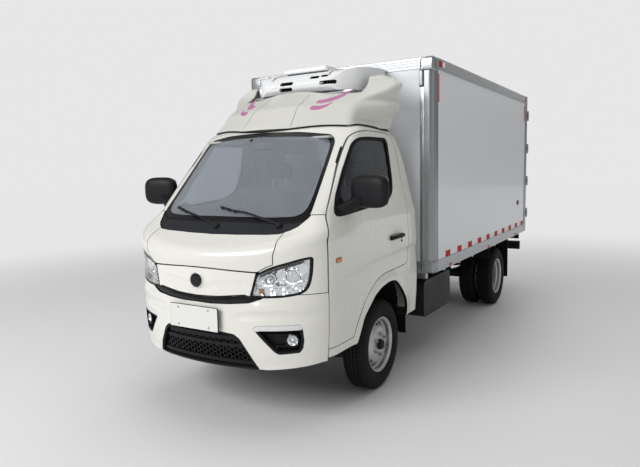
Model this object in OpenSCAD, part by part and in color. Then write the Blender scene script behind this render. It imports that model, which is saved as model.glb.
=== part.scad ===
// Light refrigerated truck: short-nosed cab, ladder frame, insulated box, twin rear wheels.
// Millimetres. +Z up, the truck faces -Y, its left side is +X, the ground is Z = 0.

/* [Overall] */
// Distance between the axles
wheelbase = 2850; // [2600:10:3450]
// Front axle to the foremost point of the bumper
front_overhang = 1035; // [1000:5:1240]
// Width of the cab at the waist
cab_w = 1520; // [1460:10:1640]

/* [Load box] */
// Rear axle to the rear face of the box
rear_overhang = 1119; // [1080:1:1350]
// Outside width of the box
box_w = 1720; // [1660:10:1960]
// Outside height of the box
box_h = 1653; // [1500:10:1990]
// Ground to the underside of the box
box_z = 701; // [695:1:720]
// Thickness of the insulated walls
wall_t = 60; // [45:1:75]
// Thickness of the rear doors
rear_door_t = 58; // [45:1:75]
// Height of the aluminium rails along the box edges
rail_h = 90; // [70:1:110]

/* [Wheels] */
// Outside diameter of the tyres
tyre_d = 622; // [510:2:640]
// Width of one tyre
tyre_w = 165; // [137:1:180]
// Diameter of the bead seat
bead_d = 356; // [300:2:380]
// Distance between the front tyre centres
track_front = 1310; // [1290:2:1340]
// Distance between the centres of the rear twins
track_rear = 1258; // [1240:2:1300]
// Free space between the two tyres of a twin
twin_gap = 25; // [18:1:32]
// Radius of the wheel spindles
spindle_r = 30; // [20:1:40]

/* [Frame] */
// Width over the frame rails
frame_w = 700; // [660:2:710]
// Height of a frame rail
frame_h = 130; // [100:2:140]
// Wall of the frame rails
frame_t = 6; // [4:0.5:10]
// Length of the rear leaf springs
spring_l = 1040; // [900:10:1200]

/* [Cab] */
// Wall of the cab sides and doors
side_t = 60; // [40:1:70]
// Wall of the cab roof and back
roof_t = 30; // [20:1:40]
// Wall of the nose panels
skin_t = 26; // [15:1:30]
// Thickness of the glass
glass_t = 5; // [4:0.5:8]
// Gap round each door and lid
door_gap = 8; // [6:0.5:12]

/* [Hidden] */
$fn = 48;

// A small clearance between solids that touch on the real truck
seat_gap = 0.3;
// Running clearance of a shaft in its bore
run_gap = 0.05;

// The box starts this far behind the front axle
box_front = 683;
box_rear = wheelbase + rear_overhang;
box_l = box_rear - box_front;
// Rear door hinges: pin axis behind the doors and outside the posts
hinge_back = 24;
hinge_out = 6;
barrel_r = 12;
pin_r = 7;
door_proud = 5;
rear_reach = box_rear + hinge_back + barrel_r;
// The origin is under the middle of the whole length
axle_y = -(front_overhang + rear_reach) / 2 + front_overhang;

wheel_z = tyre_d / 2;
rim_r = bead_d / 2 - seat_gap;
rail_x = frame_w / 2;
twin_pitch = tyre_w + twin_gap;

// ---- shared helpers ----
module truck() translate([0, axle_y, 0]) children();

module both_sides() {
    children();
    mirror([1, 0, 0]) children();
}

// An outline given as (Y, Z), drawn w wide across the truck
module across(w, x = 0) translate([x, 0, 0]) rotate([90, 0, 90])
    linear_extrude(w, center = true) children();

// An outline given as (X, Z), drawn from y0 to y1 along the truck
module along(y0, y1) translate([0, y1, 0]) rotate([90, 0, 0]) linear_extrude(y1 - y0) children();

// A block between two corners
module block(a, b) translate(a) cube(b - a);

// A round bar along X, Y or Z
module bar_x(r, l) rotate([0, 90, 0]) cylinder(r = r, h = l, center = true);
module bar_y(r, l) rotate([90, 0, 0]) cylinder(r = r, h = l, center = true);

// Points moved away from a centre by g
function grow(points, c, g) = [for (p = points) p + g * (p - c) / norm(p - c)];
function mirror_x(points) = concat(points,
    [for (i = [len(points) - 1:-1:0]) [points[i][0], -points[i][1]]]);
function mirrored(points) = concat(points,
    [for (i = [len(points) - 1:-1:0]) if (points[i][0] > 0) [-points[i][0], points[i][1]]]);

// ---- cab form ----
half_w = cab_w / 2;
door_front = -750;
nose_d = front_overhang + door_front;
nose_z = 1054;
nose_slope = 0.527;
cab_back_y = box_front - 43;
cab_top = 1838;
sill_z = 430;
bumper_z = 350;
roof_split = 1765;
screen_r = 1618;
screen_lean = 38.85;
screen_foot = [0, -834, 1160];

// Outline from above: an elliptic nose, straight sides and round rear corners
function cab_plan(t) = concat(
    [for (a = [180:10:360]) [(half_w - t) * cos(a), door_front + (nose_d - t) * sin(a)]],
    [for (a = [0:15:90]) [half_w - t - 70 * (1 - cos(a)), cab_back_y - t - 70 * (1 - sin(a))]],
    [for (a = [90:15:180]) [-half_w + t + 70 * (1 + cos(a)), cab_back_y - t - 70 * (1 - sin(a))]]);

// Outline from the front: the sides lean in above the waist
function cab_front_view(t) = mirrored([
    [half_w - 24 - t, 300 - t], [half_w - t, 1000], [half_w - 12 - t, 1200],
    [half_w - 48 - t, 1400], [half_w - 75 - t, 1550], [half_w - 92 - t, 1650],
    [half_w - 115 - t, roof_split], [half_w - 140 - t, 1800 - t], [half_w - 210 - t, 1824 - t],
    [half_w - 400 - t, cab_top - t]]);

// Above the waist the sides draw in towards the windscreen
function greenhouse_plan(t) = mirrored([
    [0, -900], [half_w - 150 - t, -900], [half_w - 100 - t, -700], [half_w - 66 - t, -560],
    [half_w - 40 - t, -400], [half_w - 16 - t, -200], [half_w - t, 0], [half_w - t, 900],
    [0, 900]]);

// Side outlines (Y, Z) of the nose and of the greenhouse
function nose_side(t) = [
    [-front_overhang, bumper_z - t], [-front_overhang, nose_z - 1.13 * t],
    [-600, nose_z + (front_overhang - 600) * nose_slope - 1.13 * t], [-600, bumper_z - t]];
function greenhouse_side(t) = [
    [-front_overhang, bumper_z - t], [-front_overhang, 1786 - t], [-345, 1786 - t],
    [-200, 1822 - t], [-60, cab_top - t], [250, cab_top - t], [400 - t / 2, 1818 - t],
    [cab_back_y - 165 - t, 1760 - t / 2], [cab_back_y - 98 - t, 1650], [cab_back_y - 59 - t, 1520],
    [cab_back_y - 20 - t, 1250], [cab_back_y - t, 1000], [cab_back_y - t, bumper_z - t]];

// Side outline of the body behind the nose, up to the shoulder
waist_z = 1195;
function body_side(t) = [
    [-650, bumper_z - t], [-650, waist_z + 45 - t], [-400, waist_z - t],
    [cab_back_y - t, waist_z - t], [cab_back_y - t, bumper_z - t]];

// The curved windscreen surface is part of a large leaning cylinder
module screen_form(t) translate(screen_foot)
    rotate([-screen_lean, 0, 0]) translate([0, screen_r, 0])
        cylinder(r = screen_r - t, h = 5000, center = true, $fn = 240);

// The whole cab as a solid, drawn in by t on every side
module cab_mass(t = 0) intersection() {
    translate([0, 0, 200]) linear_extrude(2000) polygon(cab_plan(t));
    along(-2000, 2000) polygon(cab_front_view(t));
    union() {
        across(cab_w + 100) polygon(nose_side(t));
        intersection() {
            across(cab_w + 100) polygon(body_side(t));
            across(cab_w + 100) polygon(greenhouse_side(t));
        }
        intersection() {
            across(cab_w + 100) polygon(greenhouse_side(t));
            linear_extrude(2000) polygon(greenhouse_plan(t));
            screen_form(t);
        }
    }
}

module cab_shell(t, t0 = 0) difference() {
    cab_mass(t0);
    cab_mass(t0 + t);
}

// ---- cab outlines ----
door_outline = [[-750, 482], [-750, 1187], [-627, 1277], [-538, 1392], [-392, 1549], [-292, 1664],
    [-225, 1722], [-140, 1750], [250, 1752], [325, 1734], [372, 1655], [410, 1450], [424, 1250],
    [425, 1000], [425, 850], [380, 822], [200, 815], [0, 812], [-120, 785], [-230, 730], [-330, 650],
    [-400, 560], [-440, 482]];
door_centre = [-150, 1100];
window_outline = [[-525, 1246], [-553, 1264], [-553, 1310], [-468, 1400], [-364, 1520],
    [-278, 1625], [-215, 1680], [-140, 1706], [220, 1712], [268, 1700], [280, 1660],
    [286, 1550], [262, 1403], [232, 1330], [170, 1298]];
window_centre = [-100, 1480];
arch_outline = [[-400, 300], [-393, 441], [-320, 583], [-162, 696], [-60, 732], [60, 748],
    [140, 745], [196, 725], [290, 650], [373, 560], [392, 493], [400, 300]];
screen_outline = mirrored([[0, 1205], [300, 1212], [585, 1238], [606, 1262], [560, 1710],
    [535, 1752], [300, 1778], [0, 1784]]);
screen_centre = [0, 1480];
back_outline = mirrored([[0, 1370], [400, 1370], [430, 1400], [405, 1640], [380, 1665], [0, 1665]]);
back_centre = [0, 1520];

// Outlines of the nose pieces, as (X, Z) from the front
lamp_outline = [[364, 812], [402, 954], [470, 990], [560, 1015], [660, 1046], [722, 1050],
    [712, 960], [672, 860], [590, 815], [516, 806]];
lamp_centre = [560, 920];
bonnet_outline = mirrored([[0, 956], [396, 957], [467, 996], [524, 1012], [505, 1165], [0, 1165]]);
panel_outline = mirrored([[0, 830], [352, 830], [392, 944], [0, 949]]);
grille_strip = mirrored([[0, 762], [300, 758], [352, 772], [356, 824], [0, 824]]);
lower_grille = mirrored([[0, 608], [150, 606], [300, 592], [395, 480], [462, 388], [430, 372],
    [0, 372]]);

// Half length of the front cross beam that carries the bumper
beam_x = 500;

// ---- cab ----
module door_prism(g = 0) across(320, half_w - 20)
    polygon(grow(door_outline, door_centre, g));

module arch_prism() across(600, half_w - 100) polygon(arch_outline);

module cab_sides() color("ivory") truck() both_sides() difference() {
    cab_shell(side_t);
    block([-2000, -2000, 0], [half_w - 130, 2000, sill_z]);
    block([-2000, -2000, 0], [2000, 2000, sill_z]);
    block([-2000, -2000, roof_split], [2000, 2000, 3000]);
    block([-2000, -2000, 0], [2000, door_front + 50, 3000]);
    block([-2000, 0, 0], [half_w - 120, 2000, 3000]);
    block([-2000, -2000, 0], [half_w - 240, 1, 3000]);
    along(-2000, 0) polygon(grow(screen_outline, screen_centre, 0.6));
    door_prism(door_gap);
    arch_prism();
}

module cab_back() color("ivory") truck() difference() {
    cab_shell(roof_t);
    block([-2000, -2000, 0], [2000, 300, 3000]);
    block([-2000, -2000, 0], [2000, 2000, 700]);
    block([-2000, -2000, roof_split - seat_gap], [2000, 2000, 3000]);
    both_sides() block([half_w - 120 - seat_gap, -2000, 0], [2000, 2000, 3000]);
    both_sides() door_prism(door_gap);
    along(0, 2000) polygon(grow(back_outline, back_centre, 0.6));
}

module cab_roof() color("ivory") truck() difference() {
    cab_shell(roof_t);
    block([-2000, -2000, 0], [2000, 2000, roof_split + seat_gap]);
    along(-2000, 0) polygon(grow(screen_outline, screen_centre, 0.6));
}

module windscreen() color("slategray") truck() intersection() {
    cab_shell(glass_t, 6);
    along(-2000, 0) polygon(screen_outline);
}

module back_window() color("slategray") truck() intersection() {
    cab_shell(glass_t, 12);
    along(0, 2000) polygon(back_outline);
    block([-800, 300, 0], [800, 2000, 3000]);
}

// Rear edge of the lid, on its hinge line
lid_rear = screen_foot[1] - 4;

// Corner skins beside the lid, the cowl under the windscreen and the bulkhead
module cab_front() color("ivory") truck() {
    difference() {
        cab_shell(skin_t);
        block([-2000, door_front + 46, 0], [2000, 2000, 3000]);
        both_sides() block([half_w - side_t - 15, door_front - door_gap, 0], [2000, 2000, 3000]);
        block([-2000, -2000, 0], [2000, 2000, 800]);
        along(-2000, screen_foot[1] + 8) polygon(grow(bonnet_outline, [0, 1050], door_gap));
        along(-2000, -800) polygon(grow(panel_outline, [0, 890], 14));
        both_sides() along(-2000, -600) polygon(grow(lamp_outline, lamp_centre, 0.5));
        along(-2000, 0) polygon(grow(screen_outline, screen_centre, 0.6));
        // the bumper takes what lies under the lamps
        along(-2000, 0) polygon(mirrored([[0, 700], [900, 700], [900, 853], [660, 853], [0, 853]]));
    }
    // bulkhead and the cowl box along its top
    block([-half_w + side_t + 15, door_front - 8, 575],
        [half_w - side_t - 15, door_front + 17, 1172]);
    block([-half_w + 20, door_front - 45, 1080], [half_w - 20, door_front - 8, 1158]);
    // hinge lugs behind the lid
    both_sides() block([380, lid_rear + seat_gap, 1132], [400, door_front - 44, 1145]);
}

// The nose alone, under the windscreen, as a solid and as a skin
module nose_mass(t = 0) intersection() {
    translate([0, 0, 200]) linear_extrude(2000) polygon(cab_plan(t));
    along(-2000, 2000) polygon(cab_front_view(t));
    across(cab_w + 100) polygon(nose_side(t));
}
module nose_shell(t, t0 = 0) difference() {
    nose_mass(t0);
    nose_mass(t0 + t);
}
module nose_skin(y1) intersection() {
    nose_shell(skin_t);
    block([-2000, -2000, 0], [2000, y1, 3000]);
}

module bonnet() color("ivory") truck() intersection() {
    nose_skin(door_front - door_gap);
    along(-2000, lid_rear) polygon(bonnet_outline);
}

module front_panel() color("ivory") truck() intersection() {
    nose_skin(door_front - door_gap);
    along(-2000, -800) polygon(panel_outline);
}

module headlights() color("gainsboro") truck() both_sides() intersection() {
    nose_mass(0);
    difference() {
        block([300, -2000, 700], [900, door_front - door_gap - 30, 1100]);
        nose_mass(90);
    }
    along(-2000, -600) polygon(lamp_outline);
}

module grille() color("black") truck() {
    intersection() {
        nose_shell(skin_t, 4);
        along(-2000, -800) polygon(grille_strip);
    }
    intersection() {
        nose_shell(skin_t, 14);
        along(-2000, -800) polygon(lower_grille);
    }
}

module front_bumper() color("ivory") truck() difference() {
    union() {
        nose_skin(door_front - door_gap);
        both_sides() block([beam_x + seat_gap, -945, 440], [beam_x + 20, -890, 500]);
    }
    block([-2000, -2000, 853 - 2], [2000, 2000, 3000]);
    along(-2000, -700) polygon(grow(panel_outline, [0, 890], 0.6));
    along(-2000, -700) polygon(grow(grille_strip, [0, 790], 0.6));
    along(-2000, -700) polygon(grow(lower_grille, [0, 490], 0.6));
    both_sides() along(-2000, -600) polygon(grow(lamp_outline, lamp_centre, 0.5));
}

// Just behind the bulkhead, where the floor and the dashboard start
bulkhead_y = door_front + 17 + seat_gap;

// Footwell floor, seat riser and seat deck in one bent plate
module cab_floor() color("dimgray") truck() difference() {
    across(cab_w - 2 * side_t - 2 * 24) polygon([
        [bulkhead_y, 560], [-470, 560], [-430, 740], [cab_back_y - roof_t - 4, 740],
        [cab_back_y - roof_t - 4, 760], [-445, 760], [-485, 580], [bulkhead_y, 580]]);
    // room for the round rear corners of the cab
    both_sides() block([half_w - 125, cab_back_y - side_t - 76, 700], [2000, 2000, 800]);
}

steer_x = 360;
wheel_tilt = 32;
wheel_hub = [steer_x, -430, 1105];
ring_r = 185;
column_l = 250;

module dashboard() color("darkslategray") truck() {
    across(cab_w - 2 * side_t - 40) polygon([[bulkhead_y, 900], [-600, 900], [-560, 1050],
        [-590, 1120], [-690, 1150], [bulkhead_y, 1150]]);
    // steering column
    translate(wheel_hub) rotate([-wheel_tilt, 0, 0]) translate([0, 0, -column_l - 21])
        cylinder(r = 32, h = column_l);
    block([steer_x - 45, -640, 950], [steer_x + 45, -500, 1040]);
}

module steering_wheel() color("black") truck() translate(wheel_hub) rotate([-wheel_tilt, 0, 0]) {
    rotate_extrude($fn = 64) translate([ring_r, 0]) circle(r = 14);
    for (a = [-25, 205, 90 + 180]) rotate([0, 0, a])
        translate([ring_r / 2, 0, -4]) cube([ring_r, 32, 12], center = true);
    translate([0, 0, -20]) cylinder(r = 55, h = 32);
}

// One seat: base, cushion, back and headrest, each a rounded block
module seat(w) {
    rotate([90, 0, 90]) linear_extrude(w, center = true) hull() {
        translate([-330, 830]) circle(r = 60);
        translate([60, 810]) circle(r = 46);
    }
    rotate([90, 0, 90]) linear_extrude(w - 20, center = true) hull() {
        translate([135, 846]) circle(r = 52);
        translate([290, 1380]) circle(r = 42);
    }
    rotate([90, 0, 90]) linear_extrude(250, center = true) hull() {
        translate([300, 1470]) circle(r = 38);
        translate([325, 1570]) circle(r = 34);
    }
    for (x = [-60, 60]) translate([x, 292, 1390]) rotate([-8, 0, 0]) cylinder(r = 6, h = 90);
    block([-w / 2 + 40, -290, 760.3], [w / 2 - 40, 60, 772]);
}

module seats() color("gray") truck() {
    translate([steer_x, 0, 0]) seat(500);
    translate([-310, 0, 0]) seat(620);
}

// ---- doors ----
module door() truck() difference() {
    intersection() {
        cab_shell(side_t);
        door_prism();
        union() {
            block([half_w - side_t - 8, -2000, 0], [2000, 2000, 1236]);
            block([half_w - 130, -2000, 1235], [2000, 2000, 3000]);
        }
    }
    across(400, half_w - 20) polygon(window_outline);
}
module door_glass() truck() intersection() {
    cab_shell(glass_t, 14);
    across(320, half_w - 20) polygon(grow(window_outline, window_centre, -seat_gap));
    block([half_w - 140, -2000, 0], [2000, 2000, 3000]);
}
module door_left() color("ivory") door();
module door_right() color("ivory") mirror([1, 0, 0]) door();
module door_glass_left() color("slategray") door_glass();
module door_glass_right() color("slategray") mirror([1, 0, 0]) door_glass();

mirror_at = [half_w + 130, -475, 1406];
mirror_depth = 76;
module mirror_head() truck() {
    translate(mirror_at) rotate([90, 0, 12]) linear_extrude(mirror_depth, center = true) hull()
        for (x = [-52, 52], z = [-46, 46]) translate([x, z]) circle(r = 36);
    // arm to the door
    difference() {
        translate([half_w - 60, -480, 1290]) rotate([0, 56, 0]) cylinder(r = 15, h = 150);
        cab_mass(-seat_gap);
    }
}
module mirror_left() color("black") mirror_head();
module mirror_right() color("black") mirror([1, 0, 0]) mirror_head();

// ---- roof ----
fairing_rear = 380;
module fairing_form(t) hull() {
    translate([0, 0, 1796]) linear_extrude(1) polygon(mirrored([
        [652 - t, fairing_rear], [650 - t, 100], [575 - t, -200 + t], [300, -285 + t],
        [0, -315 + t]]));
    translate([0, 0, 1946 - t]) linear_extrude(1) polygon(mirrored([
        [734 - t, fairing_rear], [700 - t, 150], [590 - t, -100 + t], [300, -170 + t],
        [0, -195 + t]]));
    translate([0, 0, 2084 - t]) linear_extrude(1) polygon(mirrored([
        [745 - t, fairing_rear], [560 - t, 150 + t], [300, 85 + t], [0, 65 + t]]));
}
module fairing_fin() hull() {
    block([540, 150, 2050], [740, fairing_rear, 2082]);
    block([540, 260, 2180], [640, fairing_rear, 2200]);
}
module roof_fairing() color("white") truck() difference() {
    union() {
        fairing_form(0);
        both_sides() fairing_fin();
    }
    fairing_form(12);
    block([-560, 100, 1700], [560, 500, 2070]);
    block([-unit_w / 2 - 40, 60, 2050], [unit_w / 2 + 40, 500, 2300]);
    cab_mass(-seat_gap);
}

// The unit hangs on the front of the box, under its upper rail
unit_w = 960;
unit_z = box_z + box_h - 259;
module refrigeration_unit() color("white") truck() translate([0, 0, unit_z]) difference() {
    across(unit_w) polygon([[box_front - seat_gap, 0], [150, 0], [118, 35], [128, 80],
        [190, 140], [300, 167], [box_front - seat_gap, 190]]);
    // air slots in the front face
    for (x = [-330, -160, 160, 330], z = [33, 70]) translate([x, 130, z])
        cube([120, 60, 20], center = true);
}

// ---- frame ----
// The rails are low under the cab and step up under the box
frame_z = 500;
frame_top = frame_z + frame_h;
front_z = 400;
function rail_side(t) = [[-885 + t, front_z + t], [-420, front_z + t], [-120, frame_z + t],
    [box_rear - 60 - t, frame_z + t], [box_rear - 60 - t, frame_top - t],
    [-120 - t / 2, frame_top - t], [-420 - t / 2, front_z + frame_h - t],
    [-885 + t, front_z + frame_h - t]];

module chassis_rails() color("black") truck() both_sides() difference() {
    across(60, rail_x - 30) polygon(rail_side(0));
    across(60, rail_x - 30 - frame_t) polygon(rail_side(frame_t));
}

cross_in = rail_x - frame_t - seat_gap;
tow_r = 14;
plate_x = 120;
plate_z = 60;
module crossmembers() color("black") truck() {
    // front beam with its tow eye
    difference() {
        union() {
            block([-beam_x, -925, 412], [beam_x, -930 - seat_gap + 40, 518]);
            block([-250, -968, 440], [-190, -920, 462]);
        }
        translate([-220, -944, 430]) cylinder(r = tow_r, h = 50);
    }
    for (y = [560, 1050, 1540, 2030, wheelbase - 430, wheelbase + 410]) difference() {
        block([-cross_in, y, frame_z + 12], [cross_in, y + 60, frame_top - 12]);
        block([-cross_in - 1, y + 6, frame_z + 18], [cross_in + 1, y + 61, frame_top - 18]);
    }
    // cab mounts standing on the rails
    both_sides() {
        block([rail_x - 55, -680, front_z + frame_h + seat_gap], [rail_x - 5, -620, 560 - seat_gap]);
        block([rail_x - 55, 480, frame_top + seat_gap], [rail_x - 5, 540, 740 - seat_gap]);
    }
    // rear beam with the tow plate
    difference() {
        block([-cross_in, box_rear - 110, frame_z + 12], [cross_in, box_rear - 98, frame_top - 12]);
        for (x = [-plate_x / 2, plate_x / 2], z = [-plate_z / 2, plate_z / 2])
            translate([x, box_rear - 104, frame_z + frame_h / 2 + z]) bar_y(6.5, 40);
    }
}

module engine() color("gray") truck() {
    block([-230, -330, 330], [230, 380, 700]);
    // mounts on the rails
    both_sides() block([229, 160, frame_top + seat_gap], [rail_x - 20, 220, frame_top + 16]);
}

// Gearbox and propeller shaft, running down to the rear axle
gearbox_z = 430;
gearbox_end = 640;
diff_r = 122;
module driveshaft() color("gray") truck() {
    translate([0, 380 + seat_gap, gearbox_z]) rotate([-90, 0, 0]) cylinder(r = 68, h = 260);
    translate([0, gearbox_end, gearbox_z])
        rotate([-90 - atan2(gearbox_z - wheel_z, wheelbase - gearbox_end), 0, 0])
            cylinder(r = 34, h = wheelbase - gearbox_end - diff_r - 9);
}

kingpin_x = track_front / 2 - tyre_w / 2 - 40;
ball_low = wheel_z - 106;
ball_high = wheel_z + 114;
liner_z = 740;
module front_suspension() color("black") truck() {
    // cross beam under the engine
    block([-300, -60, wheel_z - 71], [300, 60, wheel_z - 1]);
    both_sides() block([rail_x - 55, -50, wheel_z - 2], [rail_x - 10, 50, frame_z - seat_gap]);
    both_sides() {
        // lower arm
        difference() {
            translate([0, 0, ball_low - 14]) linear_extrude(28) polygon([[301, -110], [301, 110],
                [kingpin_x + 22, 26], [kingpin_x + 22, -26]]);
            translate([kingpin_x, 0, 0]) cylinder(r = 14 + run_gap, h = 400);
        }
        block([240, -55, ball_low - 14], [301.5, 55, wheel_z - 70]);
        // upper arm from the rail
        block([rail_x + seat_gap, -90, ball_high - 12], [rail_x + 14, 90, 560]);
        difference() {
            translate([0, 0, ball_high - 12]) linear_extrude(24) polygon([
                [rail_x + seat_gap, -90], [rail_x + seat_gap, 90],
                [kingpin_x + 20, 24], [kingpin_x + 20, -24]]);
            translate([kingpin_x, 0, wheel_z]) cylinder(r = 14 + run_gap, h = 400);
        }
        // spring and damper
        translate([430, 0, ball_low + 14]) cylinder(r = 20, h = 260);
        translate([430, 0, ball_high + 12]) cylinder(r = 46, h = liner_z - 25 - ball_high);
    }
}

// Knuckle: kingpin, upright and wheel spindle
module knuckle() truck() {
    translate([kingpin_x, 0, ball_low - 20]) cylinder(r = 14, h = ball_high - ball_low + 40);
    translate([kingpin_x, 0, ball_low + 20]) cylinder(r = 30, h = ball_high - ball_low - 40);
    translate([(kingpin_x + track_front / 2 + 42) / 2, 0, wheel_z])
        bar_x(spindle_r, track_front / 2 + 42 - kingpin_x);
    translate([kingpin_x + 62, 0, wheel_z]) bar_x(125, 22);
}
module knuckle_left() color("dimgray") knuckle();
module knuckle_right() color("dimgray") mirror([1, 0, 0]) knuckle();

axle_end = track_rear / 2 + 60;
module rear_axle() color("black") truck() translate([0, wheelbase, wheel_z]) {
    bar_x(45, track_rear - 110);
    bar_x(spindle_r, 2 * axle_end);
    bar_x(diff_r, 110);
    bar_x(84, 220);
    both_sides() translate([track_rear / 2 - twin_pitch / 2 - 10, 0, 0]) bar_x(130, 90);
}

spring_x = rail_x + 50;
pack_z = wheel_z + 45 + seat_gap;
module leaf_springs() color("black") truck() both_sides() {
    // leaf pack, arched, clamped over the axle
    across(60, spring_x) polygon([
        [wheelbase - spring_l / 2, 430], [wheelbase - spring_l / 4, pack_z + 32],
        [wheelbase - 60, pack_z], [wheelbase + 60, pack_z],
        [wheelbase + spring_l / 4, pack_z + 32], [wheelbase + spring_l / 2, 430],
        [wheelbase + spring_l / 2, 440], [wheelbase + spring_l / 4, pack_z + 48],
        [wheelbase + 80, pack_z + 36], [wheelbase - 80, pack_z + 36],
        [wheelbase - spring_l / 4, pack_z + 48], [wheelbase - spring_l / 2, 440]]);
    // hangers on the rail
    for (s = [-1, 1]) translate([0, wheelbase + s * (spring_l / 2 - 4), 0]) {
        block([spring_x - 36, -22, 420], [spring_x + 36, 22, 500]);
        block([rail_x + seat_gap, -34, 480], [spring_x + 30, 34, 600]);
    }
}

tank_top = frame_top - 8;
module fuel_tank() color("black") truck() {
    across(330, 590) hull()
        for (y = [790, 1330], z = [370, tank_top - 46]) translate([y, z]) circle(r = 46);
    // brackets to the frame rail
    for (y = [880, 1200]) block([rail_x + seat_gap, y, 530], [430, y + 40, 600]);
}

module exhaust() color("gray") truck() {
    translate([-470, 1150, 470]) bar_y(85, 520);
    translate([-470, 1600, 470]) bar_y(24, 400);
    translate([-470, 680, 470]) bar_y(24, 430);
    for (y = [1000, 1300]) block([-480, y, 550], [-rail_x - seat_gap, y + 30, 566]);
}

module spare_wheel() color("black") truck() translate([0, box_rear - 440, 400]) {
    rotate_extrude() translate([bead_d / 2, -tyre_w / 2]) square([(tyre_d - bead_d) / 2, tyre_w]);
    difference() {
        translate([0, 0, -20]) cylinder(r = bead_d / 2 + 5, h = 14);
        for (a = [0:60:300]) rotate([0, 0, a]) translate([110, 0, -30]) cylinder(r = 22, h = 40);
    }
    // carrier
    translate([0, 0, 10]) cylinder(r = 20, h = 60);
    translate([0, 0, -10]) cylinder(r = 60, h = 26);
    block([-rail_x + 60, -25, 70], [rail_x - 60, 25, 99.7]);
}

module mud_flaps() color("black") truck() both_sides() {
    block([540, 424 + seat_gap, 282], [730, 432, sill_z - 6]);
    block([540, 424 + seat_gap, sill_z - 7], [half_w - side_t - 36, 432, 556]);
    block([450, wheelbase + tyre_d / 2 + 61, 240], [820, wheelbase + tyre_d / 2 + 69, box_z - seat_gap]);
    block([450, wheelbase - tyre_d / 2 - 107, 560], [820, wheelbase - tyre_d / 2 - 99, box_z - seat_gap]);
}

// Black liners over the front wheels
module wheel_housings() color("black") truck() both_sides() difference() {
    across(200, 560) polygon([[-428, 470], [-428, 560], [-330, 690], [-230, liner_z - seat_gap],
        [330, liner_z - seat_gap], [424, 600], [424, 470]]);
    across(202, 560) polygon([[-422, 469], [-422, 558], [-326, 685], [-228, liner_z - 6],
        [328, liner_z - 6], [418, 598], [418, 469]]);
}

module rear_bumper() color("black") truck() {
    block([-800, box_rear - 60, 470], [800, box_rear - 10, 570]);
    both_sides() block([rail_x - 40, box_rear - 59.7, 570], [rail_x - 5, box_rear - 15, 640]);
}

module tail_lights() color("red") truck() both_sides()
    block([600, box_rear - 40, 598], [790, box_rear - 5, box_z - seat_gap]);

// ---- box ----
half_box = box_w / 2;
box_top = box_z + box_h;
post_w = 90;
inset = 6;
rail_t = 72;
floor_t = 80;

// A rail or post outline with one corner rounded, from the outer corner inwards
module rounded_edge(w, h, r) difference() {
    square([w, h]);
    difference() {
        square([r, r]);
        translate([r, r]) circle(r = r);
    }
}

module box_edge_rails() color("silver") truck() {
    // front corner posts, full height
    both_sides() translate([half_box, box_front, box_z]) mirror([1, 0, 0])
        linear_extrude(box_h) rounded_edge(post_w, post_w, 45);
    both_sides() {
        // lower and upper side rails
        block([half_box - rail_t, box_front + post_w + seat_gap, box_z],
            [half_box, box_rear - post_w - seat_gap, box_z + rail_h]);
        translate([half_box, box_front + post_w + seat_gap, box_top]) rotate([-90, 0, 0])
            mirror([1, 0, 0]) linear_extrude(box_l - 2 * (post_w + seat_gap))
                rounded_edge(rail_t, rail_h, 22);
    }
    // front rails
    block([-half_box + post_w + seat_gap, box_front, box_z],
        [half_box - post_w - seat_gap, box_front + rail_t, box_z + rail_h]);
    block([-half_box + post_w + seat_gap, box_front, box_top - rail_h],
        [half_box - post_w - seat_gap, box_front + rail_t, box_top]);
}

// A slab between the rails, notched round the two front posts
module slab(z0, z1) difference() {
    block([-half_box + rail_t + seat_gap, box_front + rail_t + seat_gap, z0],
        [half_box - rail_t - seat_gap, box_rear - post_w - seat_gap, z1]);
    both_sides() block([half_box - post_w - seat_gap, box_front, z0 - 1],
        [half_box, box_front + post_w + seat_gap, z1 + 1]);
}

module box_floor() color("gray") truck() {
    slab(box_z + 1, box_z + floor_t);
    // bearers across the frame rails
    for (i = [0:7]) translate([0, box_front + 120 + i * (box_l - 330) / 7, 0])
        block([-half_box + rail_t + 40, 0, frame_top + seat_gap], [half_box - rail_t - 40, 50, box_z + 2]);
}

module box_front_wall() color("white") truck()
    block([-half_box + post_w + seat_gap, box_front + inset, box_z + rail_h + seat_gap],
        [half_box - post_w - seat_gap, box_front + inset + wall_t, box_top - rail_h - seat_gap]);

module box_side_walls() color("white") truck() both_sides()
    block([half_box - inset - wall_t, box_front + post_w + seat_gap, box_z + rail_h + seat_gap],
        [half_box - inset, box_rear - post_w - seat_gap, box_top - rail_h - seat_gap]);

module box_roof() color("white") truck() slab(box_top - inset - wall_t, box_top - inset);

// Rear portal: two posts, header and sill, with the hinge pins of the doors
frame_post = 74;
door_gap_rear = 5;
frame_rear = box_rear - door_proud;
hinge_zs = [for (k = [0:3]) box_z + 230 + k * (box_h - 460) / 3];
hinge_x = half_box + hinge_out;
hinge_y = box_rear + hinge_back;
module rear_frame() color("silver") truck() {
    difference() {
        block([-half_box, box_rear - post_w, box_z], [half_box, frame_rear, box_top]);
        block([-half_box + frame_post, box_rear - post_w - 1, box_z + rail_h],
            [half_box - frame_post, box_rear + 1, box_top - rail_h]);
    }
    both_sides() for (z = hinge_zs) {
        translate([hinge_x, hinge_y, z - 58]) cylinder(r = pin_r, h = 116);
        for (s = [-1, 1]) translate([0, 0, z + s * 45 - 12]) linear_extrude(24) polygon([
            [half_box - 40, frame_rear - 10], [half_box - 40, frame_rear + 4],
            [hinge_x - 10, hinge_y + 8], [hinge_x + 5, hinge_y + 8],
            [hinge_x + 8, hinge_y - 8], [half_box, frame_rear - 10]]);
    }
}

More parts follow.
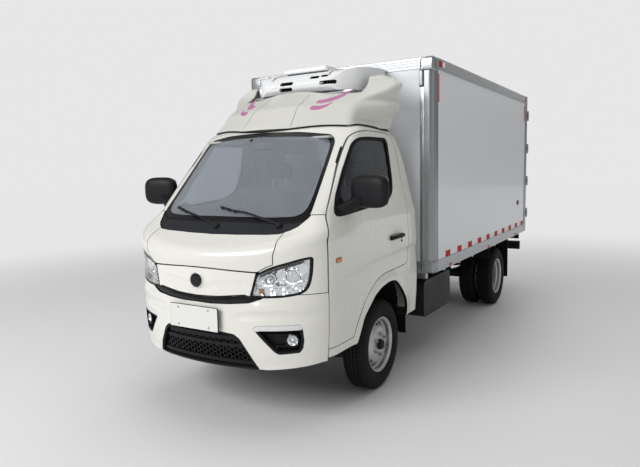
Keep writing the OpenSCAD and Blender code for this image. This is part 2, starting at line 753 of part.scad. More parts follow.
// A rear door: insulated panel, hinge straps with barrels, two lock rods
rod_x = [half_box * 0.30, half_box * 0.62];
module rear_door() truck() {
    block([door_gap_rear / 2, box_rear - rear_door_t, box_z + rail_h + door_gap_rear],
        [half_box - frame_post - door_gap_rear, box_rear, box_top - rail_h - door_gap_rear]);
    for (z = hinge_zs) difference() {
        union() {
            translate([0, 0, z - 30]) linear_extrude(60) polygon([
                [half_box - 300, box_rear - 1], [half_box - 300, box_rear + 7],
                [half_box - 40, box_rear + 7], [hinge_x - 12, hinge_y + 4],
                [hinge_x, hinge_y - 6], [half_box - 30, box_rear + 0.3],
                [half_box - frame_post - 12, box_rear - 1]]);
            translate([hinge_x, hinge_y, z - 30]) cylinder(r = barrel_r, h = 60);
        }
        translate([hinge_x, hinge_y, z - 31]) cylinder(r = pin_r + run_gap, h = 62);
    }
    for (x = rod_x) {
        translate([x, box_rear + 14, box_z + rail_h + 15]) cylinder(r = 11, h = box_h - 2 * rail_h - 30);
        for (k = [0:4]) translate([x - 24, box_rear - 1, box_z + rail_h + 60 + k * (box_h - 2 * rail_h - 170) / 4])
            cube([48, 16, 50]);
        // handle lying flat across the door
        block([x - 190, box_rear + 10, box_z + 520], [x, box_rear + 20, box_z + 550]);
        block([x - 190, box_rear - 1, box_z + 512], [x - 160, box_rear + 20, box_z + 558]);
    }
}
module rear_door_left() color("white") rear_door();
module rear_door_right() color("white") mirror([1, 0, 0]) rear_door();

// Evaporator under the ceiling at the front of the load space
ceiling_z = box_top - inset - wall_t;
cooler_z = ceiling_z - 208;
module evaporator() color("silver") truck() difference() {
    across(900) polygon([[box_front + rail_t + seat_gap, cooler_z], [box_front + 300, cooler_z],
        [box_front + 420, cooler_z + 70], [box_front + 420, cooler_z + 140],
        [box_front + rail_t + seat_gap, ceiling_z - seat_gap]]);
    for (x = [-280, 0, 280]) translate([x, box_front + 380, cooler_z + 100]) bar_y(95, 150);
}

// ---- wheels ----
// Half the section of a tyre, as (radius, X), from the bead to the tread
section_h = (tyre_d - bead_d) / 2;
function tyre_half() = [[bead_d / 2, tyre_w / 2 - 28], [bead_d / 2 + 18, tyre_w / 2 - 16],
    [bead_d / 2 + 0.45 * section_h, tyre_w / 2], [bead_d / 2 + 0.7 * section_h, tyre_w / 2 - 4],
    [bead_d / 2 + 0.93 * section_h, tyre_w / 2 - 18], [tyre_d / 2, tyre_w / 2 - 36]];
module tyre_ring() rotate([0, 90, 0]) rotate_extrude($fn = 96) polygon(mirror_x(tyre_half()));

// Rim barrel about X, with its flanges
module barrel() rotate([0, 90, 0]) rotate_extrude($fn = 96) polygon([
    [rim_r - 8, -tyre_w / 2 + 18], [rim_r + 12, -tyre_w / 2 + 12], [rim_r + 12, -tyre_w / 2 + 15],
    [rim_r, -tyre_w / 2 + 26], [rim_r, tyre_w / 2 - 26], [rim_r + 12, tyre_w / 2 - 15],
    [rim_r + 12, tyre_w / 2 - 12], [rim_r - 8, tyre_w / 2 - 18]]);

// Dished disc with hub bore and hand holes; the hub face sits at x
module disc(x, out) difference() {
    rotate([0, 90, 0]) rotate_extrude($fn = 96) polygon([
        [spindle_r + run_gap, x], [95, x], [125, out], [rim_r - 7, out - 6],
        [rim_r - 7, out - 12], [122, out - 8], [92, x - 8], [spindle_r + run_gap, x - 8]]);
    for (a = [0:36:324]) rotate([a, 0, 0]) translate([0, 0, 148]) rotate([0, 90, 0])
        cylinder(r = 10, h = 300, center = true);
}

module hub(x0, x1) translate([x0, 0, 0]) rotate([0, 90, 0]) difference() {
    cylinder(r = 52, h = x1 - x0);
    translate([0, 0, -1]) cylinder(r = spindle_r + run_gap, h = x1 - x0 + 2);
}

module at_front(s) truck() translate([s * track_front / 2, 0, wheel_z])
    mirror([(1 - s) / 2, 0, 0]) children();
module at_rear(s) truck() translate([s * track_rear / 2, wheelbase, wheel_z])
    mirror([(1 - s) / 2, 0, 0]) children();

module rim_front() {
    barrel();
    disc(58, 44);
    hub(-4, 57);
}
module rim_rear() {
    translate([twin_pitch / 2, 0, 0]) barrel();
    translate([-twin_pitch / 2, 0, 0]) barrel();
    disc(9, 40);
    mirror([1, 0, 0]) disc(9, 40);
    hub(-8.5, 62);
}
module rear_tyres() for (s = [-1, 1]) translate([s * twin_pitch / 2, 0, 0]) tyre_ring();

module tyre_front_left() color("black") at_front(1) tyre_ring();
module tyre_front_right() color("black") at_front(-1) tyre_ring();
module tyre_rear_left() color("black") at_rear(1) rear_tyres();
module tyre_rear_right() color("black") at_rear(-1) rear_tyres();
module rim_front_left() color("silver") at_front(1) rim_front();
module rim_front_right() color("silver") at_front(-1) rim_front();
module rim_rear_left() color("silver") at_rear(1) rim_rear();
module rim_rear_right() color("silver") at_rear(-1) rim_rear();

chassis_rails();
crossmembers();
engine();
driveshaft();
front_suspension();
knuckle_left();
knuckle_right();
rear_axle();
leaf_springs();
fuel_tank();
exhaust();
spare_wheel();
mud_flaps();
wheel_housings();
rear_bumper();
tail_lights();
cab_floor();
cab_back();
cab_roof();
cab_sides();
cab_front();
bonnet();
front_panel();
grille();
front_bumper();
headlights();
windscreen();
back_window();
dashboard();
steering_wheel();
seats();
door_left();
door_right();
door_glass_left();
door_glass_right();
mirror_left();
mirror_right();
roof_fairing();
refrigeration_unit();
box_floor();
box_front_wall();
box_side_walls();
box_roof();
box_edge_rails();
rear_frame();
rear_door_left();
rear_door_right();
evaporator();
tyre_front_left();
tyre_front_right();
tyre_rear_left();
tyre_rear_right();
rim_front_left();
rim_front_right();
rim_rear_left();
rim_rear_right();
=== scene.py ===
"""Light refrigerated truck: the visible model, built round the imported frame.

Shapes are written in working millimetres: X across (+ is the truck's left), Y from the front axle
to the rear, Z up from the ground. to_row() turns them into the frame's metres.
"""
import math
import bpy
import bmesh
import numpy as np
from mathutils import Matrix, Vector
from mathutils.geometry import delaunay_2d_cdt


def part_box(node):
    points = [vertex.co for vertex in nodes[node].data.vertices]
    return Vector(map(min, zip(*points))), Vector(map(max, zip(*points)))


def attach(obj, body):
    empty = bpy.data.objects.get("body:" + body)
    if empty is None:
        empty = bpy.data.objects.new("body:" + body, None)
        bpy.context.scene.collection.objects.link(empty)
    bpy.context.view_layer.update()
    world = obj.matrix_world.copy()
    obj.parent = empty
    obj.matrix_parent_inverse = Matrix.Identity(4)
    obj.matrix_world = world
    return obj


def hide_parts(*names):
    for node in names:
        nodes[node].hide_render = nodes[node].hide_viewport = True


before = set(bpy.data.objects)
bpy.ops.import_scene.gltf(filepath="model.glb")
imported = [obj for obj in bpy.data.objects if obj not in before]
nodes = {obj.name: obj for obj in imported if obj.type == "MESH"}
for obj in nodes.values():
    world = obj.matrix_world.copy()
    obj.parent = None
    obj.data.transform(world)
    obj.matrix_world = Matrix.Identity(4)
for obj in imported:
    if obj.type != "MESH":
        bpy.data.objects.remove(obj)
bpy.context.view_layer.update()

MM = 0.001
SMOOTH = math.radians(32)     # edges sharper than this stay sharp
SIDE_NAME = {1: "left", -1: "right"}


def middle(node):
    """The middle of a CAD node, in metres."""
    low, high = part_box(node)
    return (low + high) / 2


axle_y = middle("tyre_front_left").y / MM
wheel_z = middle("tyre_front_left").z / MM


def box_mm(node):
    """A node's lowest and highest corner in working millimetres."""
    low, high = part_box(node)
    shift = np.array([0, axle_y, 0])
    return np.array(low) / MM - shift, np.array(high) / MM - shift


def to_row(points):
    """Working millimetres to the frame's metres."""
    return (np.asarray(points, float) + [0, axle_y, 0]) * MM


# ---------------------------------------------------------------- smooth functions
def smax(a, b, k):
    """The larger of a and b, blended over k."""
    h = np.maximum(k - np.abs(a - b), 0) / k
    return np.maximum(a, b) + h * h * k / 4


def smin(a, b, k):
    """The smaller of a and b, blended over k."""
    return -smax(-a, -b, k)


def step(a, b, q):
    """0 before a, 1 after b, smooth between."""
    t = np.clip((q - a) / (b - a), 0, 1)
    return t * t * (3 - 2 * t)


def bump(q, centre, width):
    """A smooth hump of height 1."""
    return np.exp(-((q - centre) / width) ** 2)


def soft_profile(points, soft):
    """A function through (input, output) points whose corners are rounded over soft mm."""
    at, value = np.array(points, float).T
    pitch = 4.0
    s = np.arange(at[0] - 4 * soft, at[-1] + 4 * soft, pitch)
    v = np.interp(s, at, value)
    reach = max(int(3 * soft / pitch), 1)
    kernel = np.exp(-0.5 * (np.arange(-reach, reach + 1) * pitch / soft) ** 2)
    v = np.convolve(np.pad(v, reach, mode="edge"), kernel / kernel.sum(), mode="valid")
    return lambda q: np.interp(q, s, v)


# ---------------------------------------------------------------- outlines
def rounded(points, radius, steps=6):
    """A closed outline with each corner rounded; radius is one number or one per corner."""
    pts = [np.array(p, float) for p in points]
    n = len(pts)
    radii = [radius] * n if np.isscalar(radius) else radius
    out = []
    for i, p in enumerate(pts):
        a, b = pts[i - 1] - p, pts[(i + 1) % n] - p
        la, lb = np.linalg.norm(a), np.linalg.norm(b)
        cut = min(radii[i], la * 0.48, lb * 0.48)
        if cut < 0.01:
            out.append(p)
            continue
        start, end = p + a / la * cut, p + b / lb * cut
        for t in np.linspace(0, 1, steps):
            out.append((1 - t) ** 2 * start + 2 * t * (1 - t) * p + t * t * end)
    return np.array(out)


def rect(x0, x1, z0, z1):
    """The four corners of a rectangle."""
    return [(x0, z0), (x1, z0), (x1, z1), (x0, z1)]


def mirrored(points):
    """A half outline (first number 0 or more) completed across the middle."""
    pts = [tuple(p) for p in points]
    return pts + [(-x, z) for x, z in reversed(pts) if x > 0]


def flipped(points):
    """An outline mirrored across X, still going round the same way."""
    return [(-p[0],) + tuple(p[1:]) for p in points][::-1]


def offset_outline(points, grow):
    """A closed outline moved outwards by grow."""
    pts = np.array(points, float)
    nxt, prv = np.roll(pts, -1, 0), np.roll(pts, 1, 0)
    area = 0.5 * np.sum(pts[:, 0] * nxt[:, 1] - nxt[:, 0] * pts[:, 1])
    d1, d2 = pts - prv, nxt - pts
    n1 = np.stack([d1[:, 1], -d1[:, 0]], 1) / np.maximum(np.linalg.norm(d1, axis=1), 1e-9)[:, None]
    n2 = np.stack([d2[:, 1], -d2[:, 0]], 1) / np.maximum(np.linalg.norm(d2, axis=1), 1e-9)[:, None]
    n = n1 + n2
    n /= np.maximum(np.linalg.norm(n, axis=1), 1e-9)[:, None]
    lean = np.clip(np.sum(n * n1, axis=1), 0.4, 1)
    return pts + n * (grow * np.sign(area) / lean)[:, None]


# ---------------------------------------------------------------- mesh tools
def put_in_scene(name, mesh):
    piece = bpy.data.objects.new(name, mesh)
    bpy.context.scene.collection.objects.link(piece)
    return piece


def shade(mesh, angle=SMOOTH):
    """Smooth shading, but for edges sharper than angle."""
    mesh.shade_smooth()
    mesh.set_sharp_from_angle(angle=angle)


def make(name, points, faces, angle=SMOOTH):
    """A mesh object from working-millimetre points."""
    mesh = bpy.data.meshes.new(name)
    mesh.from_pydata([tuple(p) for p in to_row(points)], [], [tuple(int(i) for i in f) for f in faces])
    mesh.validate()
    tidy = bmesh.new()
    tidy.from_mesh(mesh)
    bmesh.ops.recalc_face_normals(tidy, faces=tidy.faces)
    tidy.to_mesh(mesh)
    tidy.free()
    shade(mesh, angle)
    return put_in_scene(name, mesh)


def apply_modifiers(piece):
    """The piece's mesh becomes what its modifiers make of it."""
    graph = bpy.context.evaluated_depsgraph_get()
    mesh = bpy.data.meshes.new_from_object(piece.evaluated_get(graph))
    old = piece.data
    piece.modifiers.clear()
    piece.data = mesh
    bpy.data.meshes.remove(old)
    return piece


def closed_mesh(piece):
    """Whether every edge has exactly two faces."""
    edges = np.zeros(len(piece.data.loops), np.int32)
    piece.data.loops.foreach_get("edge_index", edges)
    return bool(np.all(np.bincount(edges, minlength=len(piece.data.edges)) == 2))


def boolean(piece, tool, operation="DIFFERENCE", keep_tool=False):
    """One piece cut, kept or joined by another; open meshes need the exact solver."""
    mod = piece.modifiers.new("cut", "BOOLEAN")
    mod.operation = operation
    mod.solver = "MANIFOLD" if closed_mesh(piece) and closed_mesh(tool) else "EXACT"
    mod.object = tool
    apply_modifiers(piece)
    shade(piece.data)
    if not keep_tool:
        drop(tool)
    return piece


def cut(piece, outline, axis, start, end):
    """Takes away what lies inside an outline drawn along an axis."""
    return boolean(piece, prism("cut", outline, axis, start, end))


def keep(piece, outline, axis, start, end):
    """Keeps only what lies inside an outline drawn along an axis."""
    return boolean(piece, prism("keep", outline, axis, start, end), "INTERSECT")


def get_points(piece):
    """The vertices in metres, one row each."""
    points = np.zeros(len(piece.data.vertices) * 3)
    piece.data.vertices.foreach_get("co", points)
    return points.reshape(-1, 3)


def set_points(piece, points):
    piece.data.vertices.foreach_set("co", points.ravel())
    piece.data.update()


def drop(*pieces):
    """Deletes helper pieces."""
    for piece in pieces:
        mesh = piece.data
        bpy.data.objects.remove(piece)
        bpy.data.meshes.remove(mesh)


def copy_of(piece, name):
    return put_in_scene(name, piece.data.copy())


def join(name, pieces):
    """Several mesh objects as one, their materials kept."""
    base = bmesh.new()
    materials = []
    for piece in pieces:
        shift = {}
        for i, m in enumerate(piece.data.materials):
            if m not in materials:
                materials.append(m)
            shift[i] = materials.index(m)
        mesh = piece.data
        first = len(base.faces)
        base.from_mesh(mesh)
        base.faces.ensure_lookup_table()
        for face in base.faces[first:]:
            face.material_index = shift.get(face.material_index, 0)
    mesh = bpy.data.meshes.new(name)
    base.to_mesh(mesh)
    base.free()
    for m in materials:
        mesh.materials.append(m)
    drop(*pieces)
    return put_in_scene(name, mesh)


AXES = {"x": (1, 2, 0), "y": (0, 2, 1), "z": (0, 1, 2)}


def prism(name, outline, axis, start, end):
    """A solid outline drawn along an axis: (Y, Z) along x, (X, Z) along y, (X, Y) along z."""
    a, b, c = AXES[axis]
    n = len(outline)
    points = np.zeros((2 * n, 3))
    points[:n, [a, b]] = outline
    points[n:, [a, b]] = outline
    points[:n, c] = start
    points[n:, c] = end
    faces = [list(range(n))[::-1], list(range(n, 2 * n))]
    faces += [[i, (i + 1) % n, n + (i + 1) % n, n + i] for i in range(n)]
    return make(name, points, faces)


def slab(name, low, high, bevel=0.0, segments=2):
    """A block between two opposite corners, its edges rounded."""
    low, high = np.minimum(low, high).astype(float), np.maximum(low, high).astype(float)
    points = [[(low, high)[i][0], (low, high)[j][1], (low, high)[k][2]]
              for i in (0, 1) for j in (0, 1) for k in (0, 1)]
    faces = [[0, 1, 3, 2], [4, 6, 7, 5], [0, 4, 5, 1], [2, 3, 7, 6], [0, 2, 6, 4], [1, 5, 7, 3]]
    piece = make(name, points, faces)
    if bevel > 0:
        bevel_edges(piece, bevel, segments)
    return piece


def bevel_edges(piece, width, segments=2, angle=35):
    """Rounds the edges that turn by more than an angle in degrees."""
    mod = piece.modifiers.new("bevel", "BEVEL")
    mod.width = width * MM
    mod.segments = segments
    mod.limit_method = "ANGLE"
    mod.angle_limit = math.radians(angle)
    mod.harden_normals = False
    apply_modifiers(piece)
    shade(piece.data)
    return piece


def lathe(name, profile, centre, axis, segments, closed=True):
    """A profile of (radius, along) turned about an axis through centre."""
    a, b, c = AXES[axis]
    m = len(profile)
    points, faces = [], []
    for i in range(segments):
        turn = 2 * math.pi * i / segments
        for r, h in profile:
            p = [0.0, 0.0, 0.0]
            p[a], p[b], p[c] = r * math.cos(turn), r * math.sin(turn), h
            points.append(np.array(p) + centre)
    for i in range(segments):
        j = (i + 1) % segments
        for k in range(m if closed else m - 1):
            l = (k + 1) % m
            faces.append([i * m + k, i * m + l, j * m + l, j * m + k])
    piece = make(name, points, faces)
    weld(piece)
    return piece


def turned(name, profile, segments, axis="z"):
    """An open profile that starts or ends on the axis, turned at the origin."""
    return lathe(name, profile, (0, 0, 0), axis, segments, closed=False)


def weld(piece, distance=0.01):
    """Joins points that coincide and turns all faces outwards."""
    tidy = bmesh.new()
    tidy.from_mesh(piece.data)
    bmesh.ops.remove_doubles(tidy, verts=tidy.verts, dist=distance * MM)
    bmesh.ops.dissolve_degenerate(tidy, edges=tidy.edges, dist=distance * MM)
    bmesh.ops.recalc_face_normals(tidy, faces=tidy.faces)
    tidy.to_mesh(piece.data)
    tidy.free()
    shade(piece.data)


def smooth_path(points, count):
    """Points along a smooth curve through the given points."""
    pts = np.array(points, float)
    ext = np.vstack([2 * pts[0] - pts[1], pts, 2 * pts[-1] - pts[-2]])
    spans = len(pts) - 1
    out = []
    for t in np.linspace(0, spans, count):
        i = min(int(t), spans - 1)
        u = t - i
        p0, p1, p2, p3 = ext[i:i + 4]
        out.append(0.5 * (2 * p1 + (p2 - p0) * u + (2 * p0 - 5 * p1 + 4 * p2 - p3) * u * u
                          + (3 * p1 - p0 - 3 * p2 + p3) * u ** 3))
    return np.array(out)


def sweep(name, path, section, up=(0, 0, 1), closed=False):
    """A section of (sideways, upwards) points carried along a path."""
    path = np.array(path, float)
    n, m = len(path), len(section)
    ups = np.broadcast_to(np.array(up, float), path.shape)
    ahead = np.roll(path, -1, 0) - np.roll(path, 1, 0)
    if not closed:
        ahead[0], ahead[-1] = path[1] - path[0], path[-1] - path[-2]
    ahead /= np.linalg.norm(ahead, axis=1)[:, None]
    side = np.cross(ahead, ups)
    side /= np.maximum(np.linalg.norm(side, axis=1), 1e-9)[:, None]
    over = np.cross(side, ahead)
    points = (path[:, None, :] + np.array(section)[None, :, 0, None] * side[:, None, :]
              + np.array(section)[None, :, 1, None] * over[:, None, :]).reshape(-1, 3)
    faces = []
    for i in range(n if closed else n - 1):
        j = (i + 1) % n
        for k in range(m):
            l = (k + 1) % m
            faces.append([i * m + k, j * m + k, j * m + l, i * m + l])
    if not closed:
        faces += [list(range(m)), list(range((n - 1) * m, n * m))[::-1]]
    return make(name, points, faces)


def round_section(radius, count=10):
    """A round section for sweep."""
    return [(radius * math.cos(2 * math.pi * i / count), radius * math.sin(2 * math.pi * i / count))
            for i in range(count)]


def flat_section(width, height, radius=1.0):
    """A rectangular section with rounded corners for sweep."""
    w, h = width / 2, height / 2
    return rounded(rect(-w, w, -h, h), radius, 3)


def gradient(form, points, h=0.5):
    """The direction in which a form grows, at each point."""
    p = np.asarray(points, float)
    out = np.zeros_like(p)
    for i in range(3):
        d = np.zeros(3)
        d[i] = h
        a, b = p + d, p - d
        out[:, i] = (form(a[:, 0], a[:, 1], a[:, 2]) - form(b[:, 0], b[:, 1], b[:, 2])) / (2 * h)
    return out


def onto(form, points, cap, rounds=4):
    """Points moved onto the surface where form is 0, no more than cap a round."""
    p = np.array(points, float)
    for _ in range(rounds):
        g = gradient(form, p)
        value = form(p[:, 0], p[:, 1], p[:, 2])
        move = g * (value / np.maximum(np.sum(g * g, 1), 1e-6))[:, None]
        size = np.linalg.norm(move, axis=1)
        move *= np.minimum(1, cap / np.maximum(size, 1e-9))[:, None]
        p -= move
    return p


def surface_net(name, form, low, high, pitch):
    """The closed surface of a form as an even mesh of quads."""
    axes = [np.arange(low[i], high[i] + pitch, pitch, dtype=float) for i in range(3)]
    grid = np.meshgrid(*axes, indexing="ij")
    value = form(*grid)
    inside = value < 0
    shape = np.array(value.shape) - 1
    total = np.zeros(tuple(shape) + (3,))
    count = np.zeros(tuple(shape))
    for axis in range(3):
        others = [i for i in range(3) if i != axis]
        lower = [slice(None)] * 3
        upper = [slice(None)] * 3
        lower[axis], upper[axis] = slice(0, -1), slice(1, None)
        va, vb = value[tuple(lower)], value[tuple(upper)]
        crossing = inside[tuple(lower)] != inside[tuple(upper)]
        t = np.where(crossing, va / np.where(crossing, va - vb, 1), 0)
        for du in (0, 1):
            for dv in (0, 1):
                cut = [slice(None)] * 3
                for o, d in zip(others, (du, dv)):
                    cut[o] = slice(d, d + shape[o])
                c, s = crossing[tuple(cut)], t[tuple(cut)]
                count += c
                for i, d in zip(others, (du, dv)):
                    total[..., i] += c * d
                total[..., axis] += c * s
    active = count > 0
    index = -np.ones(tuple(shape), int)
    index[active] = np.arange(active.sum())
    cell = np.argwhere(active)
    points = (cell + total[active] / count[active][:, None]) * pitch + [a[0] for a in axes]
    faces = []
    for axis in range(3):
        u, v = [i for i in range(3) if i != axis]
        lower = [slice(None)] * 3
        upper = [slice(None)] * 3
        lower[axis], upper[axis] = slice(0, -1), slice(1, None)
        crossing = inside[tuple(lower)] != inside[tuple(upper)]
        at = np.argwhere(crossing)
        at = at[(at[:, u] > 0) & (at[:, v] > 0) & (at[:, u] < shape[u]) & (at[:, v] < shape[v])]
        quad = []
        for du, dv in ((-1, -1), (0, -1), (0, 0), (-1, 0)):
            q = at.copy()
            q[:, u] += du
            q[:, v] += dv
            quad.append(index[tuple(q.T)])
        quad = np.stack(quad, 1)
        flip = inside[tuple(at.T)] if axis != 1 else ~inside[tuple(at.T)]
        quad[~flip] = quad[~flip][:, ::-1]
        faces.append(quad)
    faces = np.vstack(faces)
    points = onto(form, points, pitch * 0.7)
    return make(name, points, faces)


def in_outline(points, outline):
    """Which points lie inside a closed outline."""
    x, y = points[:, 0], points[:, 1]
    inside = np.zeros(len(points), bool)
    n = len(outline)
    for i in range(n):
        (x1, y1), (x2, y2) = outline[i], outline[(i + 1) % n]
        cond = (y1 > y) != (y2 > y)
        slope = (x2 - x1) / (y2 - y1) if y2 != y1 else 0
        inside ^= cond & (x < slope * (y - y1) + x1)
    return inside


def outline_distance(points, outline):
    """Distance to a closed outline, negative inside."""
    pts = np.asarray(points, float)
    best = np.full(len(pts), 1e9)
    ring = np.array(outline, float)
    for a, b in zip(ring, np.roll(ring, -1, 0)):
        ab = b - a
        t = np.clip(((pts - a) @ ab) / max(ab @ ab, 1e-9), 0, 1)
        best = np.minimum(best, np.linalg.norm(pts - a - t[:, None] * ab, axis=1))
    return np.where(in_outline(pts, ring), -best, best)


# ---------------------------------------------------------------- materials
def shader_tree(name):
    """A new material with its node tree and its surface shader."""
    mat = bpy.data.materials.new(name)
    mat.use_nodes = True
    tree = mat.node_tree
    surface = tree.nodes["Principled BSDF"] if "Principled BSDF" in tree.nodes else None
    if surface is None:
        surface = tree.nodes.new("ShaderNodeBsdfPrincipled")
        out = tree.nodes.new("ShaderNodeOutputMaterial")
        tree.links.new(surface.outputs[0], out.inputs[0])
    return mat, tree, surface


def add_node(tree, kind, links=(), settings=(), **values):
    """A new node: attributes from settings, input values by name, and (output, input) links."""
    node = tree.nodes.new(kind)
    for key, value in settings:
        setattr(node, key, value)
    for key, value in values.items():
        node.inputs[key.replace("_", " ")].default_value = value
    for source, socket in links:
        tree.links.new(source, node.inputs[socket])
    return node


def coordinates(tree, scale=(1, 1, 1)):
    """Places on the object, scaled; the frame's metres when the scale is 1."""
    where = add_node(tree, "ShaderNodeTexCoord").outputs["Object"]
    return add_node(tree, "ShaderNodeMapping", [(where, "Vector")], Scale=scale).outputs["Vector"]


def noise(tree, size, detail=3.0, stretch=(1, 1, 1)):
    """A cloudy pattern whose features are about size metres."""
    return add_node(tree, "ShaderNodeTexNoise", [(coordinates(tree, stretch), "Vector")],
                    Scale=1 / size, Detail=detail).outputs["Fac"]


def between(tree, factor, low, high):
    """A number ramped from low to high by a 0 to 1 factor."""
    return add_node(tree, "ShaderNodeMapRange", [(factor, "Value")], From_Min=0.25, From_Max=0.75,
                    To_Min=low, To_Max=high).outputs["Result"]


def tinted(tree, factor, dark, light):
    """A colour between dark and light by a 0 to 1 factor."""
    return add_node(tree, "ShaderNodeMix", [(factor, "Factor")], [("data_type", "RGBA")],
                    A=(*dark, 1), B=(*light, 1)).outputs["Result"]


def relief(tree, surface, height, strength, depth):
    """A bump on the surface from a height pattern."""
    node = add_node(tree, "ShaderNodeBump", [(height, "Height")], Strength=strength, Distance=depth)
    tree.links.new(node.outputs["Normal"], surface.inputs["Normal"])


def shades(color, spread):
    """A darker and a lighter version of a colour."""
    return [tuple(max(c * (1 + s), 0) for c in color) for s in (-spread, spread)]


def worn(name, color, rough, spread=0.04, patch=0.4, grain=0.0015, bump=0.1, depth=0.0002,
         metallic=0.0, coat=0.0, stretch=(1, 1, 1), rough_spread=0.06, specular=0.5):
    """A surface with soft colour variation, uneven gloss and a fine grain."""
    mat, tree, surface = shader_tree(name)
    dark, light = shades(color, spread)
    cloud = noise(tree, patch, 5.0)
    tree.links.new(tinted(tree, cloud, dark, light), surface.inputs["Base Color"])
    tree.links.new(between(tree, noise(tree, patch * 0.3, 4.0), rough - rough_spread, rough + rough_spread),
                   surface.inputs["Roughness"])
    surface.inputs["Metallic"].default_value = metallic
    surface.inputs["Specular IOR Level"].default_value = specular
    if coat > 0:
        surface.inputs["Coat Weight"].default_value = coat
        surface.inputs["Coat Roughness"].default_value = 0.04
    relief(tree, surface, noise(tree, grain, 2.0, stretch), bump, depth)
    return mat


def dusty(name, color, rough, dust=(0.20, 0.19, 0.17), amount=0.35, **rest):
    """A dark surface with dust that gathers low down and in patches."""
    mat = worn(name, color, rough, **rest)
    tree = mat.node_tree
    surface = tree.nodes["Principled BSDF"]
    base = surface.inputs["Base Color"].links[0].from_socket
    where = add_node(tree, "ShaderNodeTexCoord").outputs["Object"]
    height = add_node(tree, "ShaderNodeSeparateXYZ", [(where, 0)]).outputs["Z"]
    low = add_node(tree, "ShaderNodeMapRange", [(height, "Value")], From_Min=0.9, From_Max=0.0,
                   To_Max=amount).outputs["Result"]
    patches = between(tree, noise(tree, 0.12, 6.0), 0.0, 1.0)
    cover = add_node(tree, "ShaderNodeMath", [(low, 0), (patches, 1)], [("operation", "MULTIPLY")])
    blend = add_node(tree, "ShaderNodeMix", [(cover.outputs[0], "Factor"), (base, "A")],
                     [("data_type", "RGBA")], B=(*dust, 1))
    tree.links.new(blend.outputs["Result"], surface.inputs["Base Color"])
    return mat


def cellular(tree, size):
    """A pattern of small cells of about size metres."""
    return add_node(tree, "ShaderNodeTexVoronoi", [(coordinates(tree), "Vector")],
                    Scale=1 / size).outputs["Distance"]


def moulded(name, color, rough, size=0.0012, strength=0.35, specular=0.3):
    """Grained plastic: small leathery cells."""
    mat, tree, surface = shader_tree(name)
    dark, light = shades(color, 0.05)
    tree.links.new(tinted(tree, noise(tree, 0.15, 5.0), dark, light), surface.inputs["Base Color"])
    tree.links.new(between(tree, noise(tree, 0.03, 4.0), rough - 0.06, rough + 0.06),
                   surface.inputs["Roughness"])
    surface.inputs["Specular IOR Level"].default_value = specular
    relief(tree, surface, cellular(tree, size), strength, 0.0004)
    return mat


def woven(name, color, second, pitch=0.0022):
    """Cloth: two crossing sets of threads with mottled colour."""
    mat, tree, surface = shader_tree(name)
    threads = []
    for direction in ("X", "Z"):
        wave = add_node(tree, "ShaderNodeTexWave", [(coordinates(tree), "Vector")],
                        [("bands_direction", direction)], Scale=0.5 / pitch / 3.14, Distortion=0.6)
        threads.append(wave.outputs["Fac"])
    cross = add_node(tree, "ShaderNodeMath", [(threads[0], 0), (threads[1], 1)], [("operation", "MAXIMUM")])
    clouds = between(tree, noise(tree, 0.02, 5.0), 0.5, 1.2)
    mottled = add_node(tree, "ShaderNodeMath", [(cross.outputs[0], 0), (clouds, 1)],
                       [("operation", "MULTIPLY")])
    tree.links.new(tinted(tree, mottled.outputs[0], color, second), surface.inputs["Base Color"])
    surface.inputs["Roughness"].default_value = 0.9
    surface.inputs["Sheen Weight"].default_value = 0.25
    relief(tree, surface, cross.outputs[0], 0.5, 0.0006)
    return mat


def clear(name, color, rough=0.02, painted_reflection=0.0):
    """Glass or clear plastic with a faint unevenness and dust; the share it does not let through shows its
    colour flat, as painted reflection.
    """
    mat, tree, surface = shader_tree(name)
    dark, light = shades(color, 0.04)
    tree.links.new(tinted(tree, noise(tree, 0.25, 4.0), dark, light), surface.inputs["Base Color"])
    tree.links.new(between(tree, noise(tree, 0.075, 5.0), rough, rough + 0.03),
                   surface.inputs["Roughness"])
    surface.inputs["Transmission Weight"].default_value = 1.0 - painted_reflection
    surface.inputs["IOR"].default_value = 1.45
    return mat


def brushed(name, color, rough, along=(1, 1, 1), metallic=1.0):
    """Metal with fine drawn lines."""
    mat, tree, surface = shader_tree(name)
    dark, light = shades(color, 0.06)
    lines = noise(tree, 0.004, 6.0, along)
    tree.links.new(tinted(tree, noise(tree, 0.3, 5.0), dark, light), surface.inputs["Base Color"])
    tree.links.new(between(tree, lines, rough - 0.08, rough + 0.08), surface.inputs["Roughness"])
    surface.inputs["Metallic"].default_value = metallic
    relief(tree, surface, lines, 0.25, 0.0003)
    return mat


PAINT = worn("cab_paint", (0.80, 0.79, 0.735), 0.27, spread=0.012, patch=0.6, grain=0.05, bump=0.01,
             coat=0.6, rough_spread=0.01)
# the shell's inner and cut faces: a rougher uncoated inside paint, its darker tone painted shade in the
# shuts, seams and cab interior
PAINT_INSIDE_SHADED = worn("cab_paint_inside_shaded", (0.62, 0.61, 0.57), 0.45, spread=0.03, grain=0.004, bump=0.05)
